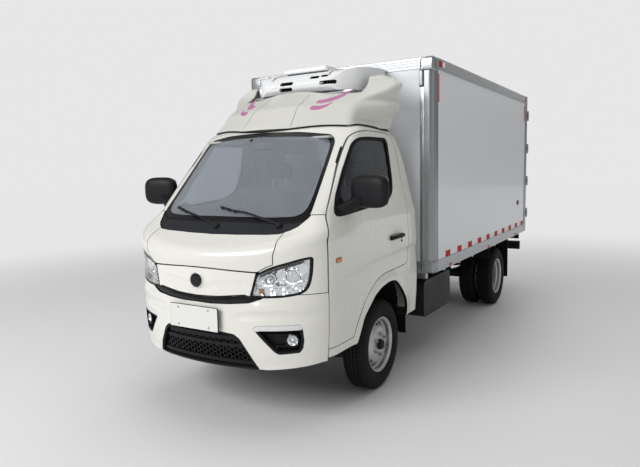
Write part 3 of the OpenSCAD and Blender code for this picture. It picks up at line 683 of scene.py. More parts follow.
# the visor's colour is the cab paint made darker: its own white with painted shade and dim painted
# reflections of the surroundings
FAIRING_SHADED_WHITE = worn("fairing_white_painted_shade", (0.66, 0.655, 0.61), 0.34, spread=0.015, patch=0.5, grain=0.008,
                     bump=0.03, coat=0.2)
UNIT_WHITE = worn("unit_white", (0.84, 0.85, 0.86), 0.32, spread=0.015, grain=0.003, bump=0.04)
PANEL = worn("box_panel", (0.76, 0.785, 0.81), 0.34, spread=0.012, patch=0.9, grain=0.02, bump=0.03,
             depth=0.0004, coat=0.25)
BLACK_GLOSS = worn("black_gloss", (0.006, 0.006, 0.007), 0.16, grain=0.004, bump=0.02, specular=0.32)
BLACK_PLASTIC = moulded("black_plastic", (0.008, 0.0085, 0.010), 0.46, specular=0.22)
COWL_PLASTIC = moulded("cowl_plastic", (0.016, 0.018, 0.022), 0.55, size=0.002, specular=0.25)
TRIM_GREY = moulded("trim_grey", (0.11, 0.115, 0.12), 0.6)
RUBBER = dusty("tyre_rubber", (0.008, 0.008, 0.009), 0.75, amount=0.05, specular=0.2, patch=0.08,
               grain=0.0012, bump=0.3, depth=0.0003, spread=0.15)
SEAL = worn("seal_rubber", (0.006, 0.006, 0.007), 0.6, grain=0.002, bump=0.1, specular=0.2)
CHASSIS = dusty("chassis_paint", (0.010, 0.010, 0.011), 0.50, amount=0.06, specular=0.3, grain=0.003,
                bump=0.2, spread=0.1)
CAST = dusty("cast_metal", (0.16, 0.16, 0.165), 0.6, metallic=0.6, grain=0.004, bump=0.5, depth=0.0008,
             spread=0.2)
STEEL = brushed("drawn_steel", (0.42, 0.43, 0.44), 0.36, metallic=0.9)
WHEEL_SILVER = worn("wheel_silver", (0.52, 0.53, 0.54), 0.34, metallic=0.75, patch=0.06, spread=0.05,
                    grain=0.0015, bump=0.08)
ALUMINIUM = brushed("aluminium", (0.33, 0.345, 0.36), 0.34, along=(8, 8, 0.25))
ALUMINIUM_LONG = brushed("aluminium_long", (0.50, 0.515, 0.53), 0.38, along=(8, 0.25, 8))
ALUMINIUM_WIDE = brushed("aluminium_wide", (0.44, 0.455, 0.47), 0.42, along=(0.25, 8, 8))
CHROME = worn("chrome", (0.78, 0.79, 0.80), 0.08, metallic=1.0, spread=0.02, grain=0.01, bump=0.02,
              rough_spread=0.03)
# windscreen and back window: a bluish tint, and a flat bluish share that is a painted sky reflection
GLASS_PAINTED_SKY = clear("tinted_glass", (0.66, 0.71, 0.77), painted_reflection=0.19)
SIDE_GLASS = clear("side_glass", (0.26, 0.28, 0.31))
LENS = clear("lamp_lens", (0.95, 0.96, 0.97), rough=0.01)
RED_LENS = worn("red_lens", (0.45, 0.01, 0.012), 0.12, coat=1.0, grain=0.003, bump=0.3, spread=0.1)
AMBER_LENS = worn("amber_solid", (0.75, 0.22, 0.02), 0.15, coat=1.0, grain=0.003, bump=0.3, spread=0.1)
WHITE_LENS = worn("white_lens", (0.75, 0.75, 0.75), 0.12, coat=1.0, grain=0.003, bump=0.3, spread=0.05)
RED_TAPE = moulded("red_tape", (0.50, 0.012, 0.014), 0.55, size=0.004, strength=0.25, specular=0.15)
WHITE_TAPE = moulded("white_tape", (0.84, 0.84, 0.85), 0.5, size=0.004, strength=0.25)
PINK = worn("pink_stripe", (0.52, 0.16, 0.36), 0.35, spread=0.06, patch=0.05, grain=0.003, bump=0.05)
PLATE = worn("plate_white", (0.78, 0.775, 0.74), 0.35, spread=0.01, grain=0.004, bump=0.05)
SEAT_CLOTH = woven("seat_cloth", (0.10, 0.105, 0.115), (0.19, 0.195, 0.21))
SEAT_SIDE = woven("seat_side", (0.045, 0.047, 0.05), (0.08, 0.082, 0.09))
MAT_RUBBER = moulded("floor_mat", (0.035, 0.036, 0.038), 0.7, size=0.006)
HEADLINER = woven("headliner", (0.42, 0.42, 0.41), (0.5, 0.5, 0.49), pitch=0.003)
GALVANISED = brushed("galvanised", (0.5, 0.51, 0.52), 0.42, along=(3, 3, 3))


def paint(piece, *materials):
    """Gives a piece its materials and hands it back."""
    piece.data.materials.clear()
    for m in materials:
        piece.data.materials.append(m)
    return piece


def ready(piece, body="truck", replaces=()):
    """The piece rides on a body and may stand for CAD nodes."""
    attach(piece, body)
    if replaces:
        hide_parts(*replaces)
    return piece


# ---------------------------------------------------------------- cab form
HALF_W = 760                 # half the cab's width
DOOR_FRONT = -720            # front edge of the doors
NOSE_START = -640            # the sides are straight behind this
NOSE_MORE = 110              # the full nose reaches this far past nose_depth
SEAM = 2.5                   # half the gap between two panels
SKIN = 22                    # thickness of the cab's shell
DOOR_SKIN = 46
AHEAD = -1300                # a place in front of the nose, where cutters start
WIDE = 900                   # a place outside the cab's side
LOW = 300                    # the cab's forms start at this height
COARSE = 26                  # pitch of the forms that never show
SCREEN_FOOT = (-834, 1160)   # foot of the windscreen in (Y, Z), and the way it rises
SCREEN_RISE = (0.627, 0.779)

side_at = soft_profile([(300, 738), (430, 746), (560, 756), (700, HALF_W), (1000, HALF_W), (1100, 757),
                        (1187, 751), (1300, 731), (1400, 712), (1550, 685), (1650, 668), (1765, 645),
                        (1900, 620)], 25)
nose_depth = soft_profile([(330, 225), (350, 235), (380, 255), (450, 274), (560, 283), (640, 285),
                           (720, 283), (770, 272), (830, 266), (950, 260), (1000, 272), (1054, 283),
                           (1300, 283)], 14)
roof_at = soft_profile([(-700, 1715), (-500, 1760), (-345, 1798), (-200, 1826), (-60, 1838), (250, 1838),
                        (400, 1822), (520, 1790), (700, 1740)], 30)
back_at = soft_profile([(200, 640), (951, 640), (1100, 632), (1250, 620), (1520, 581), (1650, 542),
                        (1760, 475), (1814, 428), (1900, 340)], 25)
crease_at = soft_profile([(-800, 876), (-559, 892), (-89, 935), (478, 955), (700, 962)], 30)

ARCH = [(-400, 250), (-393, 441), (-320, 583), (-162, 696), (-60, 732), (60, 748), (140, 745), (196, 725),
        (290, 650), (373, 560), (392, 493), (400, 250)]


class ReliefMap:
    """A smooth height map over two directions, sampled between its points."""

    def __init__(self, height, u_range, v_range, pitch=6.0):
        self.u = np.arange(*u_range, pitch)
        self.v = np.arange(*v_range, pitch)
        self.pitch = pitch
        uu, vv = np.meshgrid(self.u, self.v, indexing="ij")
        self.value = height(uu.ravel(), vv.ravel()).reshape(uu.shape)

    def __call__(self, u, v):
        a = np.clip((u - self.u[0]) / self.pitch, 0, len(self.u) - 1.001)
        b = np.clip((v - self.v[0]) / self.pitch, 0, len(self.v) - 1.001)
        i, j = a.astype(int), b.astype(int)
        a, b = a - i, b - j
        w = self.value
        return (w[i, j] * (1 - a) * (1 - b) + w[i + 1, j] * a * (1 - b)
                + w[i, j + 1] * (1 - a) * b + w[i + 1, j + 1] * a * b)


def side_relief(y, z):
    """The arch flare stands out and the body draws in under the side crease."""
    d = outline_distance(np.stack([y, z], 1), rounded(ARCH, 30))
    flare = 11 * (1 - step(10, 78, d)) * step(380, 470, z)
    below = crease_at(y) - z
    under = step(-4, 26, below) * (1 - step(40, 210, below)) * step(-730, -480, y)
    shoulder = 5 * bump(z, 1205, 45)
    slim = 58 * np.clip((-200 - y) / 440, 0, 1.1) ** 2 * step(1120, 1280, z)
    return flare - 10 * under + shoulder - slim


def nose_relief(x, z):
    """Bumper brow, the hollow under it, and the fine creases of the front panel."""
    ax = np.abs(x)
    brow = 10 * bump(z, 752, 26) * step(300, 420, ax)
    hollow = -13 * bump(z, 694, 26) * step(230, 330, ax)
    line = np.interp(ax, [0, 35, 60, 100, 140, 320, 400], [842, 842, 858, 878, 884, 895, 898])
    crease = -5 * step(-3, 4, line - z) * (1 - step(20, 55, line - z)) * (1 - step(300, 340, ax))
    lip = 12 * bump(z, 374, 18) * step(380, 470, ax)
    return brow + hollow + crease + lip


SIDE_MAP = ReliefMap(side_relief, (-1100, 712), (240, 1900))
NOSE_MAP = ReliefMap(nose_relief, (-800, 806), (300, 1300))


def plan_form(x, y, z):
    """Distance outside the plan: straight sides and a full rounded nose."""
    a = side_at(z) + SIDE_MAP(y, z)
    b = nose_depth(z) + NOSE_MORE + NOSE_MAP(x, z)
    power = 2.0
    u = np.maximum(np.abs(x) / a, 1e-6)
    v = np.maximum(NOSE_START - y, 0) / b
    full = (u ** power + v ** power) ** (1 / power)
    slope = full ** (1 - power) * np.sqrt((u ** (power - 1) / a) ** 2 + (v ** (power - 1) / b) ** 2)
    return (full - 1) / np.maximum(slope, 1e-6)


def nose_top(x, y, z):
    """The top of the bonnet, rising towards the windscreen."""
    return (z - (1054 + (y + 1035) * 0.527 - 18 * (np.abs(x) / HALF_W) ** 3)) * 0.885


def screen_form(x, y, z):
    """The windscreen leans back and curves more towards its top."""
    dy, dz = y - SCREEN_FOOT[0], z - SCREEN_FOOT[1]
    up = dy * SCREEN_RISE[0] + dz * SCREEN_RISE[1]
    behind = dy * SCREEN_RISE[1] - dz * SCREEN_RISE[0]
    return (1.33e-4 + 2.39e-7 * np.clip(up, 0, 1000)) * x * x - behind


def cab_form(x, y, z):
    """Negative inside the cab, about the distance to its skin in millimetres."""
    front = smin(nose_top(x, y, z), screen_form(x, y, z), 26)
    form = smax(plan_form(x, y, z), front, 55)
    form = smax(form, z - roof_at(y) + 20 * (x / 600) ** 2, 60)
    return smax(form, y - back_at(z), 80)


def cab_solid(name, level, pitch, floor):
    """The cab form grown by level, cut off at the floor height."""
    return surface_net(name, lambda x, y, z: np.maximum(cab_form(x, y, z) - level, floor - z),
                       (-HALF_W - 60, -1100, floor - 20), (HALF_W + 60, 700, 1880), pitch)


# outlines: the door, its window, the panes, lamps and panels, and the radius of each corner
DOOR = [(-722, 482), (-719, 1126), (-667, 1203), (-620, 1264), (-594, 1301), (-506, 1409), (-380, 1556),
        (-263, 1683), (-209, 1738), (-150, 1766), (-31, 1781), (246, 1779), (351, 1765), (400, 1722),
        (414, 1600), (424, 1250), (425, 850), (380, 822), (200, 815), (0, 812), (-120, 785), (-230, 730),
        (-330, 650), (-400, 560), (-440, 482)]
DOOR_R = [4, 30, 60, 40, 40, 60, 60, 60, 50, 50, 50, 60, 50, 50, 60, 80, 30, 60, 60, 60, 50, 50, 50, 40, 4]
WINDOW = [(-565, 1263), (-558, 1292), (-520, 1363), (-406, 1501), (-292, 1625), (-223, 1697), (-159, 1729),
          (-22, 1741), (262, 1741), (290, 1711), (281, 1591), (269, 1449), (238, 1355), (128, 1294),
          (-239, 1267), (-498, 1244), (-550, 1245)]
WINDOW_R = [16, 30, 60, 60, 60, 50, 50, 60, 18, 20, 60, 60, 70, 70, 60, 30, 16]
SCREEN = mirrored([(0, 1205), (300, 1210), (470, 1217), (590, 1246), (598, 1275), (563, 1590),
                   (548, 1712), (510, 1754), (300, 1778), (0, 1785)])
BACK_LIGHT = mirrored([(0, 1370), (430, 1370), (405, 1665), (0, 1665)])
LAMP = [(366, 808), (400, 936), (485, 979), (580, 1008), (646, 1028), (690, 1036), (686, 961),
        (675, 882), (658, 843), (621, 822), (543, 809), (436, 805)]
BONNET = mirrored([(0, 966), (122, 964), (396, 951), (410, 952), (450, 975), (501, 998), (504, 1044),
                   (513, 1092), (504, 1135), (490, 1300), (0, 1300)])
STRIP = mirrored([(0, 759), (104, 757), (243, 763), (360, 774), (434, 801), (372, 806), (352, 812),
                  (330, 818), (160, 800), (0, 794)])
COWL_EDGE = [(0, -862), (200, -855), (400, -838), (478, -824), (530, -790), (562, -757), (596, -692),
             (612, -652)]

outer = cab_solid("cab_outer", 0, 11, 345)
inner = cab_solid("cab_inner", -SKIN, COARSE, LOW)
door_inner = cab_solid("cab_door_inner", -DOOR_SKIN, COARSE, LOW)


def face_centres(mesh):
    """The middle of each face in working millimetres."""
    centres = np.zeros(len(mesh.polygons) * 3)
    mesh.polygons.foreach_get("center", centres)
    return centres.reshape(-1, 3) / MM - [0, axle_y, 0]


def by_surface(piece, skin_material, inner_material, depth=2.5):
    """Faces on the cab's outer skin take the paint, the others the inner finish."""
    paint(piece, skin_material, inner_material)
    c = face_centres(piece.data)
    value = cab_form(c[:, 0], c[:, 1], c[:, 2])
    piece.data.polygons.foreach_set("material_index", (value < -depth).astype(np.int32))
    return piece


door_line = rounded(DOOR, DOOR_R)
window_line = rounded(WINDOW, WINDOW_R)
lamp_line = rounded(LAMP, [10, 14, 40, 40, 30, 14, 40, 40, 22, 30, 40, 30])
bonnet_line = rounded(BONNET, 8)
screen_line = rounded(SCREEN, 42)
strip_line = rounded(STRIP, 6)
arch_line = rounded(ARCH, 30)


def make_cab_body():
    """Pillars, roof, back and sills: the shell behind the front panels."""
    body = copy_of(outer, "cab_body")
    boolean(body, inner, keep_tool=True)
    for s in (1, -1):
        cut(body, offset_outline(door_line, SEAM), "x", s * 520, s * WIDE)
        cut(body, arch_line, "x", s * 300, s * WIDE)
    front = [(AHEAD, 0), (-716, 0), (-716, 1126), (-663, 1203), (-617, 1265), (-700, 1265),
             (AHEAD, 1265)]
    cut(body, front, "x", -WIDE, WIDE)
    cut(body, rect(-WIDE, WIDE, 0, 431), "y", AHEAD, 900)
    cut(body, screen_line, "y", AHEAD, -100)
    cut(body, rounded(BACK_LIGHT, 30), "y", 300, 900)
    # no skin hangs under the cowl between the pillars
    cut(body, mirrored(rect(0, 585, 1100, 1300)), "y", AHEAD, -560)
    # inner and cut faces take the darker inside paint, painted shade
    by_surface(body, PAINT, PAINT_INSIDE_SHADED)
    darken_arches(body)
    return ready(body, replaces=("cab_sides", "cab_back", "cab_roof"))


def darken_arches(body):
    """The cut edge of each wheel arch, and what lies behind it, is black."""
    mesh = body.data
    mesh.materials.append(BLACK_PLASTIC)
    index = np.zeros(len(mesh.polygons), np.int32)
    mesh.polygons.foreach_get("material_index", index)
    c = face_centres(mesh)
    near = (outline_distance(c[:, 1:], arch_line) < 60) & (np.abs(c[:, 0]) > 300)
    index[near & (index == 1)] = 2
    mesh.polygons.foreach_set("material_index", index)


def make_door(side):
    """The door shell: painted skin outside, grey trim inside."""
    name = SIDE_NAME[side]
    door = copy_of(outer, "door_shell_" + name)
    keep(door, offset_outline(door_line, -SEAM), "x", side * 520, side * WIDE)
    boolean(door, door_inner, keep_tool=True)
    cut(door, window_line, "x", side * 400, side * WIDE)
    by_surface(door, PAINT, TRIM_GREY)
    return ready(door, "door_" + name, ("door_" + name,))


def nose_piece(name, *tools):
    """A panel of the nose: the shell in front of the doors, shaped by cutters."""
    piece = copy_of(outer, name)
    boolean(piece, inner, keep_tool=True)
    keep(piece, rect(AHEAD, DOOR_FRONT - SEAM, 0, 1300), "x", -WIDE, WIDE)
    for tool, operation in tools:
        boolean(piece, tool, operation)
    by_surface(piece, PAINT, BLACK_PLASTIC)
    return piece


def lamp_tools(grow):
    """Cutters in the outline of both headlamps."""
    return [(prism("cut", [(s * x, z) for x, z in offset_outline(lamp_line, grow)][::int(s)], "y",
                   AHEAD, -700), "DIFFERENCE") for s in (1, -1)]


def make_nose():
    """The service lid, the panel between the lamps, and the wings beside them."""
    lid = nose_piece("bonnet_lid",
                     (cab_solid("lid_core", -10, COARSE, 900), "DIFFERENCE"),
                     (prism("keep", offset_outline(bonnet_line, -SEAM), "y", AHEAD, -700), "INTERSECT"),
                     (prism("keep", mirrored([(0, AHEAD), (700, AHEAD)]
                                             + [(x, y - SEAM) for x, y in COWL_EDGE[::-1]]), "z", 800, 1500),
                      "INTERSECT"))
    ready(lid, "bonnet", ("bonnet",))
    panel_outline = mirrored([(0, 797), (160, 803), (330, 821), (352, 815), (368, 815), (398, 945),
                              (122, 959), (0, 961)])
    panel = nose_piece("front_panel_skin",
                       (prism("keep", rounded(panel_outline, 3), "y", AHEAD, -700), "INTERSECT"),
                       *lamp_tools(4))
    ready(panel, replaces=("front_panel",))
    wings = copy_of(outer, "front_wings")
    boolean(wings, inner, keep_tool=True)
    up_to_door = [(AHEAD, 824), (-724.5, 824), (-724.5, 1126), (-671, 1204), (-628, 1261), (AHEAD, 1261)]
    keep(wings, up_to_door, "x", -WIDE, WIDE)
    cut(wings, offset_outline(bonnet_line, SEAM), "y", AHEAD, -600)
    middle_cut = mirrored([(0, 700), (420, 700), (420, 955), (400, 955), (0, 970)])
    cut(wings, middle_cut, "y", AHEAD, -600)
    cut(wings, mirrored(COWL_EDGE + [(616, -600), (0, -600)]), "z", 1000, 1400)
    for tool, operation in lamp_tools(4):
        boolean(wings, tool, operation)
    by_surface(wings, PAINT, BLACK_PLASTIC)
    ready(wings, replaces=("cab_front",))


FOG = [(380, 628), (416, 643), (634, 651), (643, 618), (647, 559), (641, 511), (624, 483), (520, 473),
       (498, 486), (396, 606)]
INTAKE = mirrored([(0, 604), (132, 601), (267, 585), (300, 559), (358, 462), (398, 378), (384, 366),
                   (0, 366)])


def make_bumper():
    """The bumper skin with its openings for intake, fog lamps and headlamps."""
    bumper = nose_piece("bumper_skin",
                        (prism("cut", rect(-WIDE, WIDE, 820, 1400), "y", AHEAD, -600),
                         "DIFFERENCE"),
                        *lamp_tools(3))
    upper = mirrored([(0, 1000), (438, 1000), (438, 799), (360, 771), (243, 760), (104, 754), (0, 756)])
    cut(bumper, upper, "y", AHEAD, -700)
    cut(bumper, rounded(INTAKE, 12), "y", AHEAD, -700)
    for s in (1, -1):
        fog = [(s * x, z) for x, z in rounded(FOG, 9)][::int(s)]
        cut(bumper, fog, "y", AHEAD, -700)
    lower = [(AHEAD, 300), (AHEAD, 366), (-985, 366), (-900, 384), (-750, 412), (-700, 412), (-700, 300)]
    cut(bumper, lower, "x", -WIDE, WIDE)
    by_surface(bumper, PAINT, BLACK_PLASTIC)
    return ready(bumper, replaces=("front_bumper",))


make_cab_body()
for side in (1, -1):
    make_door(side)
make_nose()
make_bumper()


# ---------------------------------------------------------------- patches that follow the cab skin
CAST_FROM = -1250            # lines onto the nose start here
SCREEN_BACK = -100           # and end here where they may meet the windscreen
HALVINGS = 34                # halvings of such a line until it meets the form


def dense(outline, pitch):
    """A closed outline with extra points, no two further apart than pitch."""
    out = []
    for a, b in zip(outline, np.roll(outline, -1, 0)):
        count = max(int(np.ceil(np.linalg.norm(np.subtract(b, a)) / pitch)), 1)
        out += [np.add(a, np.subtract(b, a) * i / count) for i in range(count)]
    return np.array(out)


def fill_outline(outline, pitch, hole=None):
    """Triangles filling an outline, with an even net of points inside."""
    rings = [dense(outline, pitch)] + ([dense(hole, pitch)] if hole is not None else [])
    edges, points = [], []
    for ring in rings:
        first = len(points)
        points += list(ring)
        edges += [(first + i, first + (i + 1) % len(ring)) for i in range(len(ring))]
    low, high = rings[0].min(0), rings[0].max(0)
    u, v = np.meshgrid(np.arange(low[0], high[0], pitch), np.arange(low[1], high[1], pitch), indexing="ij")
    net = np.stack([u.ravel(), v.ravel()], 1)
    keep = outline_distance(net, rings[0]) < -pitch * 0.55
    if hole is not None:
        keep &= outline_distance(net, rings[1]) > pitch * 0.55
    points += list(net[keep])
    result = delaunay_2d_cdt([Vector(p) for p in points], edges, [], 0, 0.001)
    flat = np.array([tuple(p) for p in result[0]])
    faces = np.array([f for f in result[2] if len(f) == 3])
    centre = flat[faces].mean(1)
    good = in_outline(centre, rings[0])
    if hole is not None:
        good &= ~in_outline(centre, rings[1])
    return flat, faces[good]


def cast(form, flat, axis, start, end):
    """Where lines along an axis, from start towards end, first meet a form."""
    a, b, c = AXES[axis]
    points = np.zeros((len(flat), 3))
    points[:, [a, b]] = flat
    low, high = np.full(len(flat), float(start)), np.full(len(flat), float(end))
    for _ in range(HALVINGS):
        mid = (low + high) / 2
        points[:, c] = mid
        outside = form(points[:, 0], points[:, 1], points[:, 2]) > 0
        low, high = np.where(outside, mid, low), np.where(outside, high, mid)
    return points


def patch(name, outline, axis, start, end, level=-2.0, thick=4.0, pitch=14.0, hole=None, edge=0.0,
          form=cab_form, shape=None):
    """A sheet on the skin: level mm out from it, thick mm deep, its rim rounded over edge mm."""
    flat, faces = fill_outline(np.array(outline, float), pitch, hole)
    skin = cast(form, flat, axis, start, end)
    normal = gradient(form, skin, 2.0)
    normal /= np.maximum(np.linalg.norm(normal, axis=1), 1e-9)[:, None]
    lift = np.full(len(skin), float(level))
    if edge > 0:
        inside = -outline_distance(flat, outline)
        if hole is not None:
            inside = np.minimum(inside, outline_distance(flat, hole))
        t = np.clip(1 - inside / edge, 0, 1)
        lift -= edge * 0.7 * (1 - np.sqrt(np.maximum(1 - t * t, 0)))
    if shape is not None:
        lift += shape(flat[:, 0], flat[:, 1])
    front = skin + normal * lift[:, None]
    back = skin + normal * (level - thick - edge * 0.7)
    n = len(front)
    rim = {}
    for f in faces:
        for i in range(3):
            p, q = int(f[i]), int(f[(i + 1) % 3])
            if (q, p) in rim:
                del rim[(q, p)]
            else:
                rim[(p, q)] = True
    solid = [tuple(f) for f in faces] + [tuple(f[::-1] + n) for f in faces]
    solid += [(q, p, p + n, q + n) for p, q in rim]
    return make(name, np.vstack([front, back]), solid)


def front_patch(name, outline, end=NOSE_START, **rest):
    """A patch whose outline is (X, Z), seen from the front."""
    return patch(name, outline, "y", CAST_FROM, end, **rest)


def side_patch(name, outline, side, **rest):
    """A patch whose outline is (Y, Z), seen from one side."""
    return patch(name, outline, "x", side * WIDE, side * 450, **rest)


def sided(outline, side):
    """An (X, Z) outline on the left, or its mirror image on the right."""
    return np.array(outline, float) if side > 0 else np.array(flipped(outline))


def skin_point(u, v, axis, start, end, level):
    """The point of the cab met along an axis, lifted by level, and the direction out of it."""
    place = cast(cab_form, np.array([[u, v]], float), axis, start, end)
    out = gradient(cab_form, place, 2.0)[0]
    out /= np.linalg.norm(out)
    return place[0] + out * level, out


def on_skin(x, z, level=0.0):
    """The point of the nose or windscreen at X and Z, and the direction out of it."""
    return skin_point(x, z, "y", CAST_FROM, SCREEN_BACK, level)


def on_side(y, z, side, level=0.0):
    """The point of the cab's side at Y and Z, and the direction out of it."""
    return skin_point(y, z, "x", side * WIDE, side * 400, level)


def turn_and_place(piece, turn, place):
    """A piece made at the working origin, turned about it and moved to its place."""
    shift = Matrix.Translation(Vector(to_row([0, 0, 0])))
    move = Matrix.Translation(Vector(to_row(place)))
    piece.data.transform(move @ turn @ shift.inverted())
    return piece


def aimed(piece, place, direction):
    """A piece made along Z at the working origin, turned to a direction and put in place."""
    turn = Vector((0, 0, 1)).rotation_difference(Vector(direction)).to_matrix().to_4x4()
    return turn_and_place(piece, turn, place)


def dome(name, radius, height, depth, segments=40):
    """A round cap facing +Z with a cylindrical skirt."""
    profile = [(radius * math.sin(t), height * math.cos(t)) for t in np.linspace(0, math.pi / 2, 8)]
    profile += [(radius, -depth), (0, -depth)]
    return turned(name, profile, segments)


def bolt_head(name, radius, height, segments=6):
    """A bolt head facing +Z, six-sided unless told otherwise."""
    profile = [(0, height), (radius * 0.86, height), (radius, height * 0.8), (radius, 0), (0, 0)]
    return turned(name, profile, segments)


# ---------------------------------------------------------------- glass, cowl and lamps
def make_windscreen():
    """Glass, black printed border, rubber seal and the sensor at the top."""
    glass = mirrored([(0, 1224), (366, 1221), (531, 1226), (583, 1247), (595, 1290), (595, 1330),
                      (568, 1585), (556, 1690), (541, 1738), (496, 1764), (300, 1779), (0, 1785)])
    clear_part = mirrored([(0, 1250), (366, 1248), (505, 1254), (550, 1275), (565, 1325), (542, 1573),
                           (528, 1684), (505, 1722), (462, 1739), (236, 1753), (0, 1759)])
    line = rounded(glass, [2, 10, 30, 26, 20, 30, 60, 40, 30, 30, 60, 4, 60, 30, 30, 40, 60, 30, 20, 26, 30,
                           10])
    view = rounded(clear_part, 26)
    glass = front_patch("windscreen_glass", offset_outline(line, -4), SCREEN_BACK, level=-3.5, thick=5,
                        pitch=34)
    paint(ready(glass, replaces=("windscreen",)), GLASS_PAINTED_SKY)
    frit = front_patch("windscreen_frit", offset_outline(line, -3), SCREEN_BACK, level=-2.6, thick=0.6,
                       pitch=22, hole=view)
    paint(ready(frit), BLACK_GLOSS)
    seal = front_patch("windscreen_seal", offset_outline(line, 5), SCREEN_BACK, level=-0.6, thick=12,
                       pitch=22, hole=offset_outline(line, -3), edge=2)
    paint(ready(seal), SEAL)
    place, out = on_skin(-60, 1738, -4)
    sensor = dome("screen_sensor", 13, 4, 10)
    paint(ready(aimed(sensor, place, out)), BLACK_GLOSS)


def make_cowl():
    """The black cowl under the windscreen, with its louvres."""
    front = [(x, y + 5) for x, y in COWL_EDGE]
    rear = [(600, -650), (592, -672), (580, -692), (540, -722), (366, -752), (0, -776)]
    outline = mirrored([(0, front[0][1])] + front[1:] + rear)
    outline = rounded(outline, 3)
    piece = patch("cowl", outline, "z", 1500, 900, level=-4, thick=10, pitch=18, edge=3)
    paint(ready(piece), COWL_PLASTIC)
    slots = []
    for k in range(13):
        x = -330 + k * 55
        centre = -815 + 0.00011 * x * x
        slot = rounded(rect(x - 20, x + 20, centre - 12, centre + 12), 6)
        slots.append(patch("slot", slot, "z", 1500, 900, level=-2.6, thick=3, pitch=20, edge=2,
                           hole=offset_outline(slot, -4)))
    paint(ready(join("cowl_louvres", slots)), BLACK_GLOSS)


def make_wiper(name, points, blade_from):
    """An arm from its pivot and a long rubber blade lying along the glass."""
    path = []
    for x, z, lift in points:
        place, out = on_skin(x, z, lift)
        path.append(place)
    arm = sweep(name + "_arm", smooth_path(path, 26), flat_section(13, 8, 3), up=(0, -0.78, 0.62))
    blade_path, spine_path = [], []
    for x, z in np.linspace(points[-1][:2], blade_from, 22):
        blade_path.append(on_skin(x, z, 3.5)[0])
        spine_path.append(on_skin(x, z, 10)[0])
    blade = sweep(name + "_blade", blade_path, flat_section(6, 9, 1.5), up=(0, -0.78, 0.62))
    spine = sweep(name + "_spine", spine_path, flat_section(11, 6, 2), up=(0, -0.78, 0.62))
    parts = [arm, blade, spine]
    for t in (0.12, 0.5, 0.88):
        x = points[-1][0] + (blade_from[0] - points[-1][0]) * t
        z = points[-1][1] + (blade_from[1] - points[-1][1]) * t
        place, out = on_skin(x, z, 9)
        parts.append(aimed(dome(name + "_clip", 11, 6, 7, segments=20), place, out))
    place, out = on_skin(points[0][0], points[0][1], 2)
    parts.append(aimed(dome(name + "_pivot", 20, 16, 10), place, out))
    return paint(ready(join(name, parts)), BLACK_PLASTIC)


def make_headlamp(side):
    """Rim, lens, bowl, two reflector units, indicator and trims."""
    name = "headlamp_" + SIDE_NAME[side]
    line = sided(lamp_line, side)
    rim = front_patch(name + "_rim", offset_outline(line, -0.5), level=-1, thick=14, pitch=16, edge=2,
                      hole=offset_outline(line, -11))
    paint(ready(rim, replaces=("headlights",)), BLACK_GLOSS)
    lens = front_patch(name + "_lens", offset_outline(line, -9), level=0, thick=2, pitch=15, edge=1.5)
    paint(ready(lens), LENS)
    walls = front_patch(name + "_walls", offset_outline(line, -9), level=-5, thick=52, pitch=18,
                        hole=offset_outline(line, -12))
    steps = lambda x, z: 7 * np.sin(np.abs(x) / 11.0) * np.sin(z / 13.0)
    back = front_patch(name + "_reflector", offset_outline(line, -10), level=-46, thick=8, pitch=7,
                       shape=steps)
    paint(walls, CHROME)
    paint(back, CHROME)
    paint(ready(join(name + "_bowl", [walls, back])), CHROME)
    parts = []
    for x, z, r, mat in ((592, 925, 40, "projector"), (470, 905, 34, "dish")):
        place, out = on_skin(side * x, z, -30)
        out = np.array([side * 0.25, -0.95, 0.0])
        ring = lathe(name + "_ring", [(r, 4), (r + 7, 2), (r + 8, -22), (r - 3, -22), (r - 3, 2)],
                     (0, 0, 0), "z", 48)
        paint(aimed(ring, place, out), CHROME)
        parts.append(ring)
        if mat == "projector":
            ball = paint(aimed(dome(name + "_ball", r - 4, 22, 6), place, out), LENS)
        else:
            bowl = [(rr, -26 + 24 * (rr / (r - 3)) ** 2) for rr in np.linspace(0, r - 3, 10)]
            bowl += [(r - 3, -28), (0, -28)]
            ball = paint(aimed(turned(name + "_dish", bowl, 48), place, out),
                         CHROME)
            bulb = paint(aimed(dome(name + "_bulb", 8, 14, 20), place - out * 6, out), WHITE_LENS)
            parts.append(bulb)
        parts.append(ball)
    place, out = on_skin(side * 425, 838, -28)
    parts.append(paint(aimed(dome(name + "_indicator", 15, 20, 8), place, out), AMBER_LENS))
    trim_line = [(395, 860), (440, 868), (560, 872), (662, 892), (660, 882), (560, 862), (440, 856)]
    trim = front_patch(name + "_trim", rounded(sided(trim_line, side), 3), level=-14, thick=16, pitch=14,
                       edge=2)
    parts.append(paint(trim, CHROME))
    upper = [(420, 935), (500, 972), (640, 1010), (660, 1008), (640, 996), (500, 955), (425, 922)]
    brow = front_patch(name + "_brow", rounded(sided(upper, side), 3), level=-12, thick=20, pitch=14,
                       edge=2)
    parts.append(paint(brow, BLACK_GLOSS))
    ready(join(name + "_inside", parts))


def make_strip():
    """The black strip under the front panel."""
    piece = front_patch("nose_strip", offset_outline(strip_line, -1), level=-5, thick=10, pitch=14, edge=4)
    paint(ready(piece, replaces=("grille",)), BLACK_GLOSS)


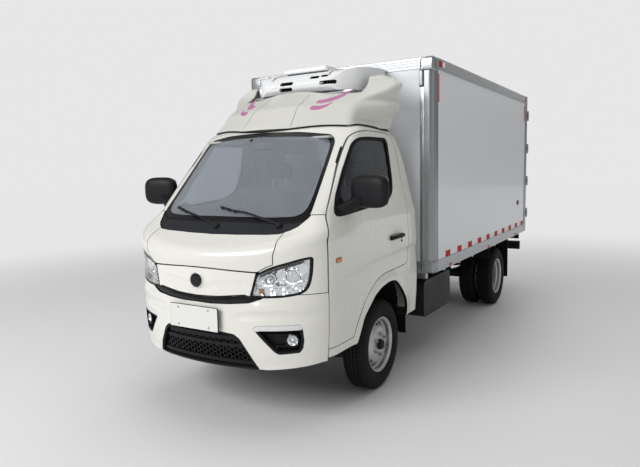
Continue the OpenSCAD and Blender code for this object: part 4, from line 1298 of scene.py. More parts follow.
def make_intake():
    """The lower opening: a dark box, two bars and a honeycomb between them."""
    line = rounded(INTAKE, 12)
    back = front_patch("intake_back", offset_outline(line, 4), level=-62, thick=5, pitch=26)
    walls = front_patch("intake_frame", offset_outline(line, -1), level=-2, thick=60, pitch=22, edge=3,
                        hole=offset_outline(line, -14))
    pieces = [back, walls]
    for z, height, reach in ((556, 13, 285), (512, 10, 315), (405, 12, 372)):
        bar = mirrored([(0, z - height), (reach, z - height - 3), (reach, z + height - 3), (0, z + height)])
        pieces.append(front_patch("intake_bar", rounded(bar, 4), level=-14, thick=16, pitch=20, edge=5))
    paint(ready(join("intake", pieces)), BLACK_PLASTIC)
    cell, web = 17.0, 2.6
    points, faces = [], []
    corner = np.array([(math.cos(a), math.sin(a)) for a in np.arange(6) * math.pi / 3])
    rows = int(130 / (cell * 0.866))
    inner_line = offset_outline(line, -24)
    for i in range(-22, 23):
        for j in range(rows + 6):
            centre = np.array([i * cell * 1.5, 408 + (j + 0.5 * (i % 2)) * cell * 1.732])
            if centre[1] > 590 or outline_distance(centre[None], inner_line)[0] > 0:
                continue
            first = len(points)
            points += list(centre + corner * cell * 0.985) + list(centre + corner * (cell - web * 1.2))
            for k in range(6):
                l = (k + 1) % 6
                faces.append((first + k, first + l, first + 6 + l, first + 6 + k))
    flat = np.array(points)
    skin = cast(cab_form, flat, "y", CAST_FROM, NOSE_START)
    front, rear = skin + [0, 24, 0], skin + [0, 36, 0]
    n = len(flat)
    solid = []
    for f in faces:
        solid.append(f)
        solid.append(tuple(np.array(f)[::-1] + n))
        solid.append((f[3], f[2], f[2] + n, f[3] + n))
        solid.append((f[1], f[0], f[0] + n, f[1] + n))
    mesh = paint(make("honeycomb", np.vstack([front, rear]), solid), BLACK_GLOSS)
    ready(mesh)


def make_fog(side):
    """The dark recess with its fins, the fog lamp and the light bar over it."""
    name = "fog_" + SIDE_NAME[side]
    line = sided(rounded(FOG, 9), side)
    back = front_patch(name + "_back", offset_outline(line, 3), level=-46, thick=5, pitch=22)
    walls = front_patch(name + "_frame", offset_outline(line, -1), level=-2, thick=44, pitch=16, edge=3,
                        hole=offset_outline(line, -13))
    parts = [back, walls]
    for z in (585, 515):
        shelf = sided([(470, z - 4), (640, z - 4), (640, z + 4), (455, z + 4)], side)
        parts.append(front_patch(name + "_fin", shelf, level=-26, thick=20, pitch=14, edge=2))
    paint(ready(join(name + "_recess", parts)), BLACK_PLASTIC)
    place, out = on_skin(side * 592, 553, -16)
    out = np.array([side * 0.42, -0.90, 0.0])
    out /= np.linalg.norm(out)
    ring = lathe(name + "_ring", [(33, 4), (41, 0), (42, -24), (30, -24), (31, 0)], (0, 0, 0), "z", 48)
    bowl = [(r, -20 + 18 * (r / 31) ** 2) for r in np.linspace(0, 31, 8)] + [(31, -22), (0, -22)]
    dish = turned(name + "_dish", bowl, 48)
    cap = dome(name + "_lens", 32, 8, 3)
    shield = dome(name + "_shield", 10, 5, 2)
    pieces = [paint(aimed(ring, place, out), BLACK_GLOSS), paint(aimed(dish, place, out), CHROME),
              paint(aimed(cap, place, out), LENS), paint(aimed(shield, place - out * 8, out), CHROME)]
    ready(join(name + "_lamp", pieces))
    light = sided([(382, 627), (416, 641), (634, 649), (641, 622), (628, 618), (420, 612), (396, 606)], side)
    bar = front_patch(name + "_light_bar", rounded(light, 5), level=1.5, thick=14, pitch=10, edge=3)
    paint(ready(bar), WHITE_LENS)


def make_plate_and_badge():
    """A blank number plate on its holder, and a plain round badge."""
    plate = rounded(rect(-190, 190, -70, 70), 8)
    inner_edge = rounded(rect(-183, 183, -63, 63), 6)
    y = on_skin(-8, 665, 14)[0][1] - 4
    shift = lambda pts: [(x - 8, z + 665) for x, z in pts]
    blank = prism("number_plate", shift(plate), "y", y, y + 2)
    rim = prism("plate_edge", shift(plate), "y", y - 1.2, y + 0.5)
    cut(rim, shift(inner_edge), "y", y - 5, y + 5)
    holder = prism("plate_holder", shift(offset_outline(plate, 3)), "y", y + 2, y + 8)
    bevel_edges(holder, 1.5)
    paint(blank, PLATE)
    paint(rim, PLATE)
    paint(holder, BLACK_PLASTIC)
    bolts = []
    for x in (-120, 120):
        for z in (52, -52):
            bolts.append(aimed(bolt_head("plate_bolt", 6, 3, 12), (x - 8, y - 0.5, 665 + z), (0, -1, 0)))
    stays = [slab("plate_stay", (x - 12, y + 7, 640), (x + 12, y + 60, 690)) for x in (-120, 104)]
    for b in bolts:
        paint(b, STEEL)
    for b in stays:
        paint(b, BLACK_PLASTIC)
    ready(join("plate", [blank, rim, holder] + bolts + stays))
    oval = [(54 * math.cos(a), 48 * math.sin(a)) for a in np.linspace(0, 2 * math.pi, 48, endpoint=False)]
    ring = [(-6 + u, 884 + v) for u, v in oval]
    rim = front_patch("badge_rim", ring, level=7, thick=10, pitch=12, edge=4,
                      hole=[(-6 + u * 0.86, 884 + v * 0.86) for u, v in oval])
    face = front_patch("badge_face", [(-6 + u * 0.88, 884 + v * 0.88) for u, v in oval], level=4, thick=6,
                       pitch=10, edge=3)
    paint(rim, CHROME)
    paint(face, BLACK_GLOSS)
    ready(join("badge", [rim, face]))


make_windscreen()
make_cowl()
make_wiper("wiper_left", [(441, 1203, 14), (371, 1216, 24), (200, 1258, 20), (110, 1272, 16)], (-40, 1298))
make_wiper("wiper_right", [(-11, 1192, 14), (-95, 1212, 24), (-250, 1246, 20), (-330, 1262, 16)],
           (-455, 1290))
for side in (1, -1):
    make_headlamp(side)
    make_fog(side)
make_strip()
make_intake()
make_plate_and_badge()


# ---------------------------------------------------------------- doors: glass, seals, handles, mirrors

def make_door_parts(side):
    """Glass, seal, mirror foot, handle and marker lamp of one door."""
    body = "door_" + SIDE_NAME[side]
    glass = side_patch("glass_" + body, offset_outline(window_line, -6), side, level=-12, thick=4, pitch=40)
    paint(ready(glass, body, replaces=("door_glass_" + SIDE_NAME[side],)), SIDE_GLASS)
    seal = side_patch("seal_" + body, offset_outline(window_line, 3), side, level=-1, thick=20, pitch=22,
                      hole=offset_outline(window_line, -20), edge=5)
    paint(ready(seal, body), SEAL)
    lower = rounded([(-560, 1262), (-545, 1249), (-300, 1266), (-330, 1300), (-440, 1312), (-492, 1385),
                     (-552, 1300)], 14)
    foot = side_patch("mirror_foot_" + body, lower, side, level=5, thick=18, pitch=14, edge=6)
    paint(ready(foot, body), BLACK_PLASTIC)
    # pull handle: a dished cup, a two-lobe grip and the lock below
    parts = []
    place, out = on_side(196, 1056, side, 0.8)
    cup = [(r, -14 * (1 - (r / 33) ** 3)) for r in np.linspace(0, 33, 10)] + [(36, 0.8), (36, -2), (0, -18)]
    dish = turned("handle_cup", cup, 48)
    parts.append(paint(aimed(dish, place, out), PAINT))
    path = [on_side(y, z, side, lift)[0] for y, z, lift in
            ((104, 1040, 5), (122, 1043, 16), (160, 1046, 24), (205, 1047, 26), (250, 1048, 24),
             (288, 1047, 17), (306, 1044, 5))]
    grip = sweep("handle_grip", smooth_path(path, 40), flat_section(27, 31, 10), up=(side, 0, 0))
    parts.append(paint(grip, BLACK_PLASTIC))
    for y, r in ((112, 17), (298, 20)):
        place, out = on_side(y, 1042, side, 1)
        parts.append(paint(aimed(dome("handle_foot", r, 11, 3), place, out), BLACK_PLASTIC))
    place, out = on_side(298, 1004, side, 1)
    parts.append(paint(aimed(dome("handle_lock", 11, 3, 3), place, out), BLACK_PLASTIC))
    ready(join("handle_" + body, parts), body)
    # A-pillar vent on the body, marker lamp on the door
    vent = rounded(sided([(590, 1673), (604, 1668), (619, 1562), (603, 1568)], side), 4)
    ring = front_patch("pillar_vent", vent, level=2.0, thick=8, pitch=6, edge=2, end=SCREEN_BACK,
                       hole=offset_outline(vent, -2.5))
    inside = front_patch("vent_slot", offset_outline(vent, -2), level=0.8, thick=5, pitch=6, end=SCREEN_BACK)
    paint(ready(join("pillar_vent_" + body, [ring, inside])), BLACK_PLASTIC)
    lamp = rounded(rect(-655, -592, 985, 1008), 10)
    base = side_patch("marker_base", offset_outline(lamp, 3), side, level=2.5, thick=6, pitch=10, edge=2)
    cover = side_patch("marker_cover", lamp, side, level=8, thick=7, pitch=8, edge=6)
    paint(base, BLACK_PLASTIC)
    paint(cover, AMBER_LENS)
    ready(join("marker_" + body, [base, cover]), body)


def mirror_form(x, y, z):
    """A fat rounded head with a flatter back."""
    deep = np.where(y > 0, 34.0, 50.0)
    power = 3.4
    value = (np.abs(x / 136) ** power + np.abs(z / 101) ** power + np.abs(y / deep) ** 2.6)
    return (value ** (1 / 3.2) - 1) * 50


def make_mirror(side):
    """The mirror head, its glass and its arm."""
    name = "mirror_" + SIDE_NAME[side]
    body = "door_" + SIDE_NAME[side]
    centre = np.array([side * 876, -436, 1393])
    head = surface_net("head", mirror_form, (-146, -60, -111), (146, 50, 111), 6)
    face = rounded(rect(-120, 120, -86, 86), 34)
    cut(head, face, "y", 24, 60)
    glass = prism("glass", offset_outline(face, -2), "y", 22, 27)
    paint(head, BLACK_PLASTIC)
    paint(glass, CHROME)
    parts = [head, glass]
    for piece in parts:
        turn_and_place(piece, Matrix.Rotation(math.radians(-12 * side), 4, "Z"), centre)
    path = [(side * 690, -500, 1292), (side * 735, -498, 1298), (side * 775, -475, 1320),
            (side * 815, -450, 1350)]
    arm = sweep("arm", smooth_path(path, 16), flat_section(74, 50, 18), up=(0, -0.3, 1))
    paint(arm, BLACK_PLASTIC)
    ready(join(name + "_head", parts + [arm]), body, replaces=(name,))


for side in (1, -1):
    make_door_parts(side)
    make_mirror(side)


# ---------------------------------------------------------------- roof fairing and refrigeration unit
FAIRING_BACK = 380           # where the visor ends
HOOD_HALF = 648              # half the hood's width there
# each against the height: half width at the back, how much narrower the hood is, and the front face
lobe_x = soft_profile([(1780, 618), (1828, 644), (1890, 676), (1957, 731), (1972, 724), (1991, 708),
                       (2010, 703), (2060, 714), (2100, 736), (2119, 746), (2134, 732), (2170, 690),
                       (2210, 640)], 5)
narrow_at = soft_profile([(1780, 0), (1820, 5), (1880, 45), (1950, 65), (2000, 95), (2050, 115), (2100, 105),
                          (2230, 90)], 20)
front_y = soft_profile([(1780, -318), (1805, -322), (1840, -290), (1890, -235), (1940, -190), (1960, -176),
                        (2000, -90), (2050, 0), (2100, 90), (2130, 130), (2230, 175)], 14)


def fairing_form(x, y, z):
    """The visor: a hood swept back over the roof, its flanks flaring into two fins a side."""
    ahead = front_y(z) + 0.00075 * x * x / np.sqrt(1 + (x / 560) ** 4)
    hood = np.minimum(600 + 0.14 * (y + 100), HOOD_HALF) - narrow_at(z) * (1 - step(-150, 300, y))
    reach = np.clip((y + 150) / (FAIRING_BACK + 150), 0, 1) ** 1.8
    half = hood + reach * (lobe_x(z - 22 * (1 - reach)) - HOOD_HALF)
    side = (np.abs(x) - half) * 0.8
    flank = step(-120, 120, y) * (1 - 0.7 * step(200, 380, y)) * step(470, 600, np.abs(x))
    side = side + flank * (28 * bump(z, 2030 + 0.12 * (y - FAIRING_BACK), 36)
                           + 24 * bump(z, 1882 + 0.08 * (y - FAIRING_BACK), 32))
    form = smax(side, (ahead - y) * 0.62, 34)
    crown = 2203 - 0.44 * np.maximum(np.abs(x) - 590, 0) + 0.22 * np.minimum(y - FAIRING_BACK, 0)
    form = smax(form, z - crown, 18)
    return smax(form, y - FAIRING_BACK, 3)


def make_fairing():
    """The hollow visor on the roof, its gasket and its two seams."""
    pitch = 10
    outer_shell = surface_net("roof_visor", fairing_form, (-800, -360, 1770), (800, 420, 2240), pitch)
    hollow = surface_net("hollow", lambda x, y, z: fairing_form(x, y, z) + 10, (-800, -360, 1700),
                         (800, 470, 2240), pitch * 1.6)
    boolean(outer_shell, hollow)
    boolean(outer_shell, slab("cut", (-900, -500, 1650), (900, 600, 1806)))
    roof = cab_solid("roof_cut", 6, COARSE, 1200)
    boolean(outer_shell, roof)
    boolean(outer_shell, slab("cut", (-512, 80, 2062), (512, 600, 2400)))
    boolean(outer_shell, slab("cut", (-600, 340, 1700), (600, 600, 2070)))
    ready(paint(outer_shell, FAIRING_SHADED_WHITE), replaces=("roof_fairing",))
    gasket = sweep("roof_gasket", visor_foot(), flat_section(16, 13, 3), up=(0, 0, 1))
    ready(paint(gasket, SEAL))
    seams = []
    for side in (1, -1):
        path = [cast(fairing_form, np.array([[side * (206 - (z - 1815) * 0.17), z]]), "y", -500, 300)[0]
                for z in np.linspace(1822, 2060, 14)]
        seams.append(sweep("seam", path, flat_section(3, 1.6, 0.5), up=(0, -0.7, 0.7)))
    ready(paint(join("visor_seams", seams), TRIM_GREY))


def visor_foot():
    """The line where the visor comes down to the roof, from one back corner round to the other."""
    turn = np.radians(np.linspace(-8, 188, 90))
    across, ahead = np.cos(turn), -np.sin(turn)
    low_z, high_z = np.full(len(turn), 1700.0), np.full(len(turn), 1900.0)
    for _ in range(24):
        z = (low_z + high_z) / 2
        near, far = np.full(len(turn), 100.0), np.full(len(turn), 1200.0)
        for _ in range(24):
            reach = (near + far) / 2
            out = fairing_form(across * reach, 300 + ahead * reach, z) > 0
            near, far = np.where(out, near, reach), np.where(out, reach, far)
        x, y = across * (near - 8), 300 + ahead * (near - 8)
        above = cab_form(x, y, z) > 3
        low_z, high_z = np.where(above, low_z, z), np.where(above, z, high_z)
    return list(np.stack([x, y, z], 1))


def air_slot(x, y, z, width, height):
    """A black rounded recess in the unit's face."""
    outline = rounded(rect(x - width, x + width, z - height, z + height), height * 0.95)
    return prism("slot", outline, "y", y - 60, y + 28), outline


def make_unit():
    """The refrigeration unit: moulded cover, air slots, ribs, side box, tray and hoses."""
    rear = 683
    profile = [(rear, 2095), (rear, 2285), (560, 2285), (300, 2262), (190, 2235), (128, 2175), (118, 2130),
               (150, 2095)]
    body = prism("unit_body", rounded(profile, [4, 10, 60, 80, 60, 40, 30, 8]), "x", -480, 480)
    plan = mirrored([(0, 100), (210, 104), (310, 132), (385, 200), (450, 290), (476, 400), (476, 700),
                     (0, 700)])
    keep(body, rounded(plan, 60), "z", 2000, 2400)
    bevel_edges(body, 12, 4, 50)
    slots = [(-100, 2128, 58, 13), (-95, 2170, 58, 13), (262, 2152, 66, 14), (140, 2200, 40, 10),
             (222, 2204, 30, 8)]
    pads = []
    for x, z, w, h in slots:
        y = 132 if z < 2180 else 158
        cutter, outline = air_slot(x, y, z, w, h)
        boolean(body, cutter)
        liner = prism("liner", offset_outline(outline, -0.5), "y", y + 22, y + 27)
        pads.append(paint(liner, BLACK_PLASTIC))
        for k in range(-2, 3):
            fin = slab("fin", (x + k * w * 0.36 - 1.2, y - 2, z - h), (x + k * w * 0.36 + 1.2, y + 24, z + h))
            pads.append(paint(fin, BLACK_PLASTIC))
    paint(body, UNIT_WHITE)
    ready(body, replaces=("refrigeration_unit",))
    ready(join("unit_slots", pads))
    ribs = []
    for x, first in ((-400, 300), (-250, 150), (250, 150), (400, 300)):
        path = [(x, y, z + 1) for y, z in ((150, 2212), (190, 2237), (300, 2264), (440, 2276), (560, 2287),
                                           (660, 2287)) if y >= first]
        ribs.append(paint(sweep("rib", smooth_path(path, 20), flat_section(26, 9, 4)), UNIT_WHITE))
    path = [(-230, 122, 2150), (230, 122, 2150)]
    ribs.append(paint(sweep("waist", path, flat_section(6, 5, 2)), UNIT_WHITE))
    lid = rounded(rect(-200, 200, 230, 640), 30)
    ribs.append(paint(prism("lid", lid, "z", 2262, 2291), UNIT_WHITE))
    bevel_edges(ribs[-1], 4, 3)
    for x in (-180, 180):
        for y in (260, 600):
            bolt = aimed(bolt_head("bolt", 8, 5), (x, y, 2291), (0, 0, 1))
            ribs.append(paint(bolt, STEEL))
    ready(join("unit_ribs", ribs))
    box = slab("unit_box", (-520, 330, 2110), (-468, 440, 2196), 8)
    cap = slab("unit_cap", (-517, 326, 2192), (-466, 444, 2206), 4)
    ready(paint(join("unit_side_box", [box, cap]), GALVANISED))
    tray = slab("unit_tray", (-440, 190, 2072), (440, 683, 2096), 5)
    ready(paint(tray, GALVANISED))
    hoses = []
    for k, x in enumerate((380, 420, 460)):
        path = [(x, 640, 2110), (x + 10, 676, 2090), (x + 12, 672, 2040), (x + 12, 672, 1900),
                (x + 12, 660, 1500), (x + 12, 660, 900)]
        hoses.append(sweep("hose", smooth_path(path, 36), round_section(9 + 2 * (k == 1)), up=(1, 0, 0)))
    ready(paint(join("cooler_hoses", hoses), SEAL))


SWOOSH = [(0, 0), (34, 6), (70, 22), (102, 46), (128, 74), (122, 40), (104, 12), (74, -10), (38, -22),
          (6, -20)]
SWOOSH_LOW = [(4, -34), (40, -38), (70, -30), (92, -12), (84, -40), (56, -58), (22, -62), (-2, -54)]


def make_swooshes():
    """Two plain painted swooshes on each side of the visor."""
    pieces = []
    for side in (1, -1):
        for shape in (SWOOSH, SWOOSH_LOW):
            line = [(side * (272 + x * 1.3), 2008 + z * 1.25) for x, z in shape]
            line = line if side > 0 else line[::-1]
            piece = patch("swoosh", rounded(line, 14), "y", -400, 300, level=1.0, thick=2.0, pitch=10,
                          form=fairing_form)
            pieces.append(paint(piece, PINK))
    ready(join("fairing_swooshes", pieces))


make_fairing()
make_unit()
make_swooshes()


# ---------------------------------------------------------------- load box
rail_low, rail_high = box_mm("box_edge_rails")
frame_low, frame_high = box_mm("rear_frame")
HALF = rail_high[0]
BOX_FRONT = rail_low[1]
BOX_BACK = frame_low[1]
BOX_BOTTOM = rail_low[2]
BOX_TOP = rail_high[2]
RAIL = 88                    # height of the bottom rail
TOP_RAIL = 86
POST = 62                    # how far the corner posts reach along the sides
FLANGE = 60                  # how far the rails reach in over the roof and under the floor
PANEL_IN = 7                 # the panels lie this far inside the rails
FLASH_TOP, FLASH_LOW = BOX_TOP - 20, BOX_TOP - 62


def side_section(side, profile):
    """(out, z) pairs measured from the box side, as an (X, Z) outline."""
    line = [(side * (HALF + u), z) for u, z in profile]
    return line if side > 0 else line[::-1]


def ribbed(low, high):
    """A rail profile with three grooves on its face and a rounded outer lip."""
    span = high - low
    face = [(-FLANGE, low), (-2, low), (0, low + 2)]
    for k in range(3):
        z = low + span * (0.27 + 0.22 * k)
        face += [(0, z - 5), (-2.6, z - 2.6), (-2.6, z + 2.6), (0, z + 5)]
    return face + [(0, high - 5), (-1.5, high - 1.5), (-5, high), (-FLANGE, high)]


def make_box_rails():
    """Edge rails, corner posts and corner castings of the box."""
    parts = []
    for side in (1, -1):
        for low, high in ((BOX_BOTTOM, BOX_BOTTOM + RAIL), (BOX_TOP - TOP_RAIL, BOX_TOP)):
            rail = prism("rail", side_section(side, ribbed(low, high)), "y", BOX_FRONT + POST, BOX_BACK)
            parts.append(paint(rail, ALUMINIUM_LONG))
        # thin sealing lip where the panel meets each rail
        for z in (BOX_BOTTOM + RAIL, BOX_TOP - TOP_RAIL):
            lip = slab("lip", (side * (HALF - 3.5) - 3.5, BOX_FRONT + POST, z - 3),
                       (side * (HALF - 3.5) + 3.5, BOX_BACK, z + 3), 1.2)
            parts.append(paint(lip, ALUMINIUM_LONG))
    for low, high in ((BOX_BOTTOM, BOX_BOTTOM + RAIL), (BOX_TOP - TOP_RAIL, BOX_TOP)):
        profile = [(BOX_FRONT - u, z) for u, z in ribbed(low, high)]
        parts.append(paint(prism("rail_front", profile, "x", -HALF + POST, HALF - POST), ALUMINIUM_WIDE))
    # rounded corner posts with a flange on either side
    r = 46
    for side in (1, -1):
        arc = [(side * (HALF - r + r * math.sin(a)), BOX_FRONT + r - r * math.cos(a))
               for a in np.linspace(0, math.pi / 2, 12)]
        post = [(side * (HALF - 108), BOX_FRONT)] + arc + [(side * HALF, BOX_FRONT + 96),
                                                          (side * (HALF - 40), BOX_FRONT + 96),
                                                          (side * (HALF - 40), BOX_FRONT + 40),
                                                          (side * (HALF - 108), BOX_FRONT + 40)]
        post = post if side > 0 else post[::-1]
        parts.append(paint(prism("post", post, "z", BOX_BOTTOM + 30, BOX_TOP - 40), ALUMINIUM))
        for x, y in ((side * (HALF - 92), BOX_FRONT), (side * HALF, BOX_FRONT + 80)):
            wide, deep = (16, 2) if y == BOX_FRONT else (2, 16)
            flange = slab("flange", (x - wide, y - 2, BOX_BOTTOM + 80), (x + wide, y + deep, BOX_TOP - 90), 1)
            parts.append(paint(flange, ALUMINIUM))
    ready(join("box_rails", parts), replaces=("box_edge_rails",))
    # corner castings: rounded caps over the posts' ends
    caps = []
    for side in (1, -1):
        for low, high in ((BOX_TOP - 112, BOX_TOP + 3), (BOX_BOTTOM - 3, BOX_BOTTOM + 108)):
            cap = slab("cap", (side * HALF + side * 4, BOX_FRONT - 4, low),
                       (side * (HALF - 116), BOX_FRONT + 112, high), 22, 5)
            caps.append(paint(cap, ALUMINIUM))
            for x, z in ((HALF - 90, 0.25), (HALF - 90, 0.75)):
                bolt = aimed(bolt_head("rivet", 7, 3, 14), (side * x, BOX_FRONT - 4, low + (high - low) * z),
                             (0, -1, 0))
                caps.append(paint(bolt, STEEL))
            for z in (0.25, 0.75):
                bolt = aimed(bolt_head("rivet", 7, 3, 14), (side * (HALF + 4), BOX_FRONT + 88,
                                                            low + (high - low) * z), (side, 0, 0))
                caps.append(paint(bolt, STEEL))
    ready(join("box_corner_castings", caps))


def rivets(name, places, direction, radius=4.2, height=1.8):
    """Many small domed rivets as one piece."""
    rings, segments = 3, 8
    d = np.array(direction, float)
    d /= np.linalg.norm(d)
    u = np.cross(d, (0, 0, 1) if abs(d[2]) < 0.9 else (1, 0, 0))
    u /= np.linalg.norm(u)
    v = np.cross(d, u)
    local = []
    for k in range(rings):
        t = math.pi / 2 * (1 - k / rings)
        for s in range(segments):
            a = 2 * math.pi * s / segments
            local.append(radius * math.sin(t) * (math.cos(a) * u + math.sin(a) * v)
                         + height * math.cos(t) * d)
    local.append(height * d)
    local = np.array(local)
    faces = []
    for k in range(rings - 1):
        for s in range(segments):
            t = (s + 1) % segments
            faces.append((k * segments + s, k * segments + t, (k + 1) * segments + t, (k + 1) * segments + s))
    for s in range(segments):
        faces.append(((rings - 1) * segments + s, (rings - 1) * segments + (s + 1) % segments,
                      rings * segments))
    n = len(local)
    points, solid = [], []
    for i, p in enumerate(places):
        points.append(local + np.array(p))
        solid += [tuple(np.array(f) + i * n) for f in faces]
    return paint(make(name, np.vstack(points), solid, math.radians(80)), STEEL)


def make_box_rivets():
    """Rows of rivets along the rails and posts."""
    along = np.arange(BOX_FRONT + 150, BOX_BACK - 40, 150)
    up = np.arange(BOX_BOTTOM + 150, BOX_TOP - 140, 125)
    for side in (1, -1):
        places = [(side * HALF, y, z) for y in along for z in (BOX_BOTTOM + 76, BOX_TOP - 76)]
        places += [(side * (HALF + 2), BOX_FRONT + 88, z) for z in up]
        ready(rivets("rivets_side", places, (side, 0, 0)))
    places = [(side * (HALF - 92), BOX_FRONT - 2, z) for z in up for side in (1, -1)]
    places += [(x, BOX_FRONT, z) for x in np.arange(-720, 721, 120) for z in (BOX_BOTTOM + 76, BOX_TOP - 76)]
    ready(rivets("rivets_front", places, (0, -1, 0)))


def make_panels():
    """The smooth insulated panels, each a hair inside the rails' faces."""
    parts = []
    low_z, high_z = BOX_BOTTOM + RAIL - 4, BOX_TOP - 82
    for side in (1, -1):
        parts.append(slab("panel", (side * (HALF - PANEL_IN), BOX_FRONT + 92, low_z),
                          (side * (HALF - 70), BOX_BACK + 4, high_z)))
    parts.append(slab("panel", (-HALF + 104, BOX_FRONT + 6, low_z), (HALF - 104, BOX_FRONT + 62, high_z)))
    for p in parts:
        paint(p, PANEL)
    ready(join("box_panels", parts), replaces=("box_side_walls", "box_front_wall"))
    roof = slab("roof", (-HALF + 52, BOX_FRONT + 52, BOX_TOP - 60), (HALF - 52, BOX_BACK + 20, BOX_TOP - 6))
    paint(roof, PANEL)
    seams = []
    for y in np.linspace(BOX_FRONT + 560, BOX_BACK - 500, 4):
        seam = slab("seam", (-HALF + 60, y - 14, BOX_TOP - 8), (HALF - 60, y + 14, BOX_TOP - 3), 1.5)
        seams.append(paint(seam, PANEL))
    ready(join("box_roof_skin", [roof] + seams), replaces=("box_roof",))


def make_tape():
    """Red and white reflective blocks along the sides, and red flashes at the corners."""
    blocks = []
    z = BOX_BOTTOM + RAIL + 3
    start, end = BOX_FRONT + 108, BOX_BACK - 40
    count = 10
    pitch = (end - start) / count
    face = HALF - PANEL_IN
    for side in (1, -1):
        for k in range(count):
            y = start + pitch * k
            for y0, long, colour in ((y, pitch * 0.6, WHITE_TAPE),
                                     (y + pitch * 0.61, pitch * 0.38, RED_TAPE)):
                sheet = slab("tape", (side * face, y0, z), (side * (face + 1.4), y0 + long, z + 50), 0.5, 1)
                blocks.append(paint(sheet, colour))
        for y0, y1, z0, z1, colour in (
                (BOX_FRONT + 122, BOX_FRONT + 190, FLASH_LOW, FLASH_TOP, RED_TAPE),
                (BOX_FRONT + 192, BOX_FRONT + 252, FLASH_LOW, FLASH_TOP, WHITE_TAPE),
                (BOX_BACK - 150, BOX_BACK - 92, FLASH_LOW, FLASH_TOP, WHITE_TAPE),
                (BOX_BACK - 90, BOX_BACK - 30, FLASH_LOW, FLASH_TOP, RED_TAPE),
                (BOX_FRONT + 108, BOX_FRONT + 140, BOX_TOP - 330, BOX_TOP - 118, RED_TAPE),
                (BOX_BACK - 66, BOX_BACK - 34, BOX_TOP - 300, BOX_TOP - 118, RED_TAPE)):
            depth = -6.5 if z1 < BOX_TOP - 100 else 0
            x = side * (HALF + depth)
            sheet = slab("flash", (x, y0, z0), (x + side * 1.4, y1, z1), 0.5, 1)
            blocks.append(paint(sheet, colour))
    for x in (-640, 640):
        for k, colour in enumerate((RED_TAPE, WHITE_TAPE, RED_TAPE)):
            sheet = slab("tape", (x - 90 + 60 * k, frame_high[1] - 0.5, BOX_BOTTOM + 20),
                         (x - 32 + 60 * k, frame_high[1] + 1, BOX_BOTTOM + 64), 0.4, 1)
            blocks.append(paint(sheet, colour))
    ready(join("reflective_tape", blocks))


def make_box_fittings():
    """Front marker lamps, door catches and side marker lamps."""
    for side in (1, -1):
        parts = []
        # upright marker lamps on the front face, near its top corners
        x = side * (HALF - 95)
        base = slab("marker", (x - 18, BOX_FRONT - 10, BOX_TOP - 222),
                    (x + 18, BOX_FRONT + 2, BOX_TOP - 92), 7, 4)
        cover = slab("cover", (x - 11, BOX_FRONT - 24, BOX_TOP - 212),
                     (x + 11, BOX_FRONT - 6, BOX_TOP - 102), 8, 5)
        parts += [paint(base, TRIM_GREY), paint(cover, WHITE_LENS)]
        # recessed holder that keeps the rear door open
        y, z = BOX_BACK - 330, BOX_BOTTOM + 380
        face = side * (HALF - PANEL_IN)
        rim = rect(y - 42, y + 42, z - 26, z + 26)
        outer_line = rounded(rim, 12)
        a, b = sorted((face - side * 2, face + side * 4))
        frame_ring = prism("catch_rim", outer_line, "x", a, b)
        cut(frame_ring, offset_outline(outer_line, -7), "x", a - 5, b + 5)
        a, b = sorted((face - side, face + side * 0.8))
        pad = prism("catch_pad", offset_outline(outer_line, -6), "x", a, b)
        hook = slab("catch_hook", (face, y - 18, z - 8), (face + side * 9, y + 18, z + 8), 3)
        for piece, mat in ((frame_ring, BLACK_PLASTIC), (pad, BLACK_PLASTIC), (hook, STEEL)):
            parts.append(paint(piece, mat))
        # side marker lamps on the bottom rail
        for y in np.linspace(BOX_FRONT + 420, BOX_BACK - 420, 3):
            lamp = slab("lamp", (side * HALF, y - 34, BOX_BOTTOM + 4),
                        (side * (HALF + 13), y + 34, BOX_BOTTOM + 24), 6, 4)
            parts.append(paint(lamp, AMBER_LENS))
        ready(join("box_fittings", parts))


def ring_of_slabs(name, x0, x1, z0, z1, y0, y1, width):
    """A rectangular band lying in a plane across Y."""
    sides = [((x0, y0, z0), (x1, y1, z0 + width)), ((x0, y0, z1 - width), (x1, y1, z1)),
             ((x0, y0, z0 + width), (x0 + width, y1, z1 - width)),
             ((x1 - width, y0, z0 + width), (x1, y1, z1 - width))]
    return join(name, [slab(name, low, high, 1.5) for low, high in sides])


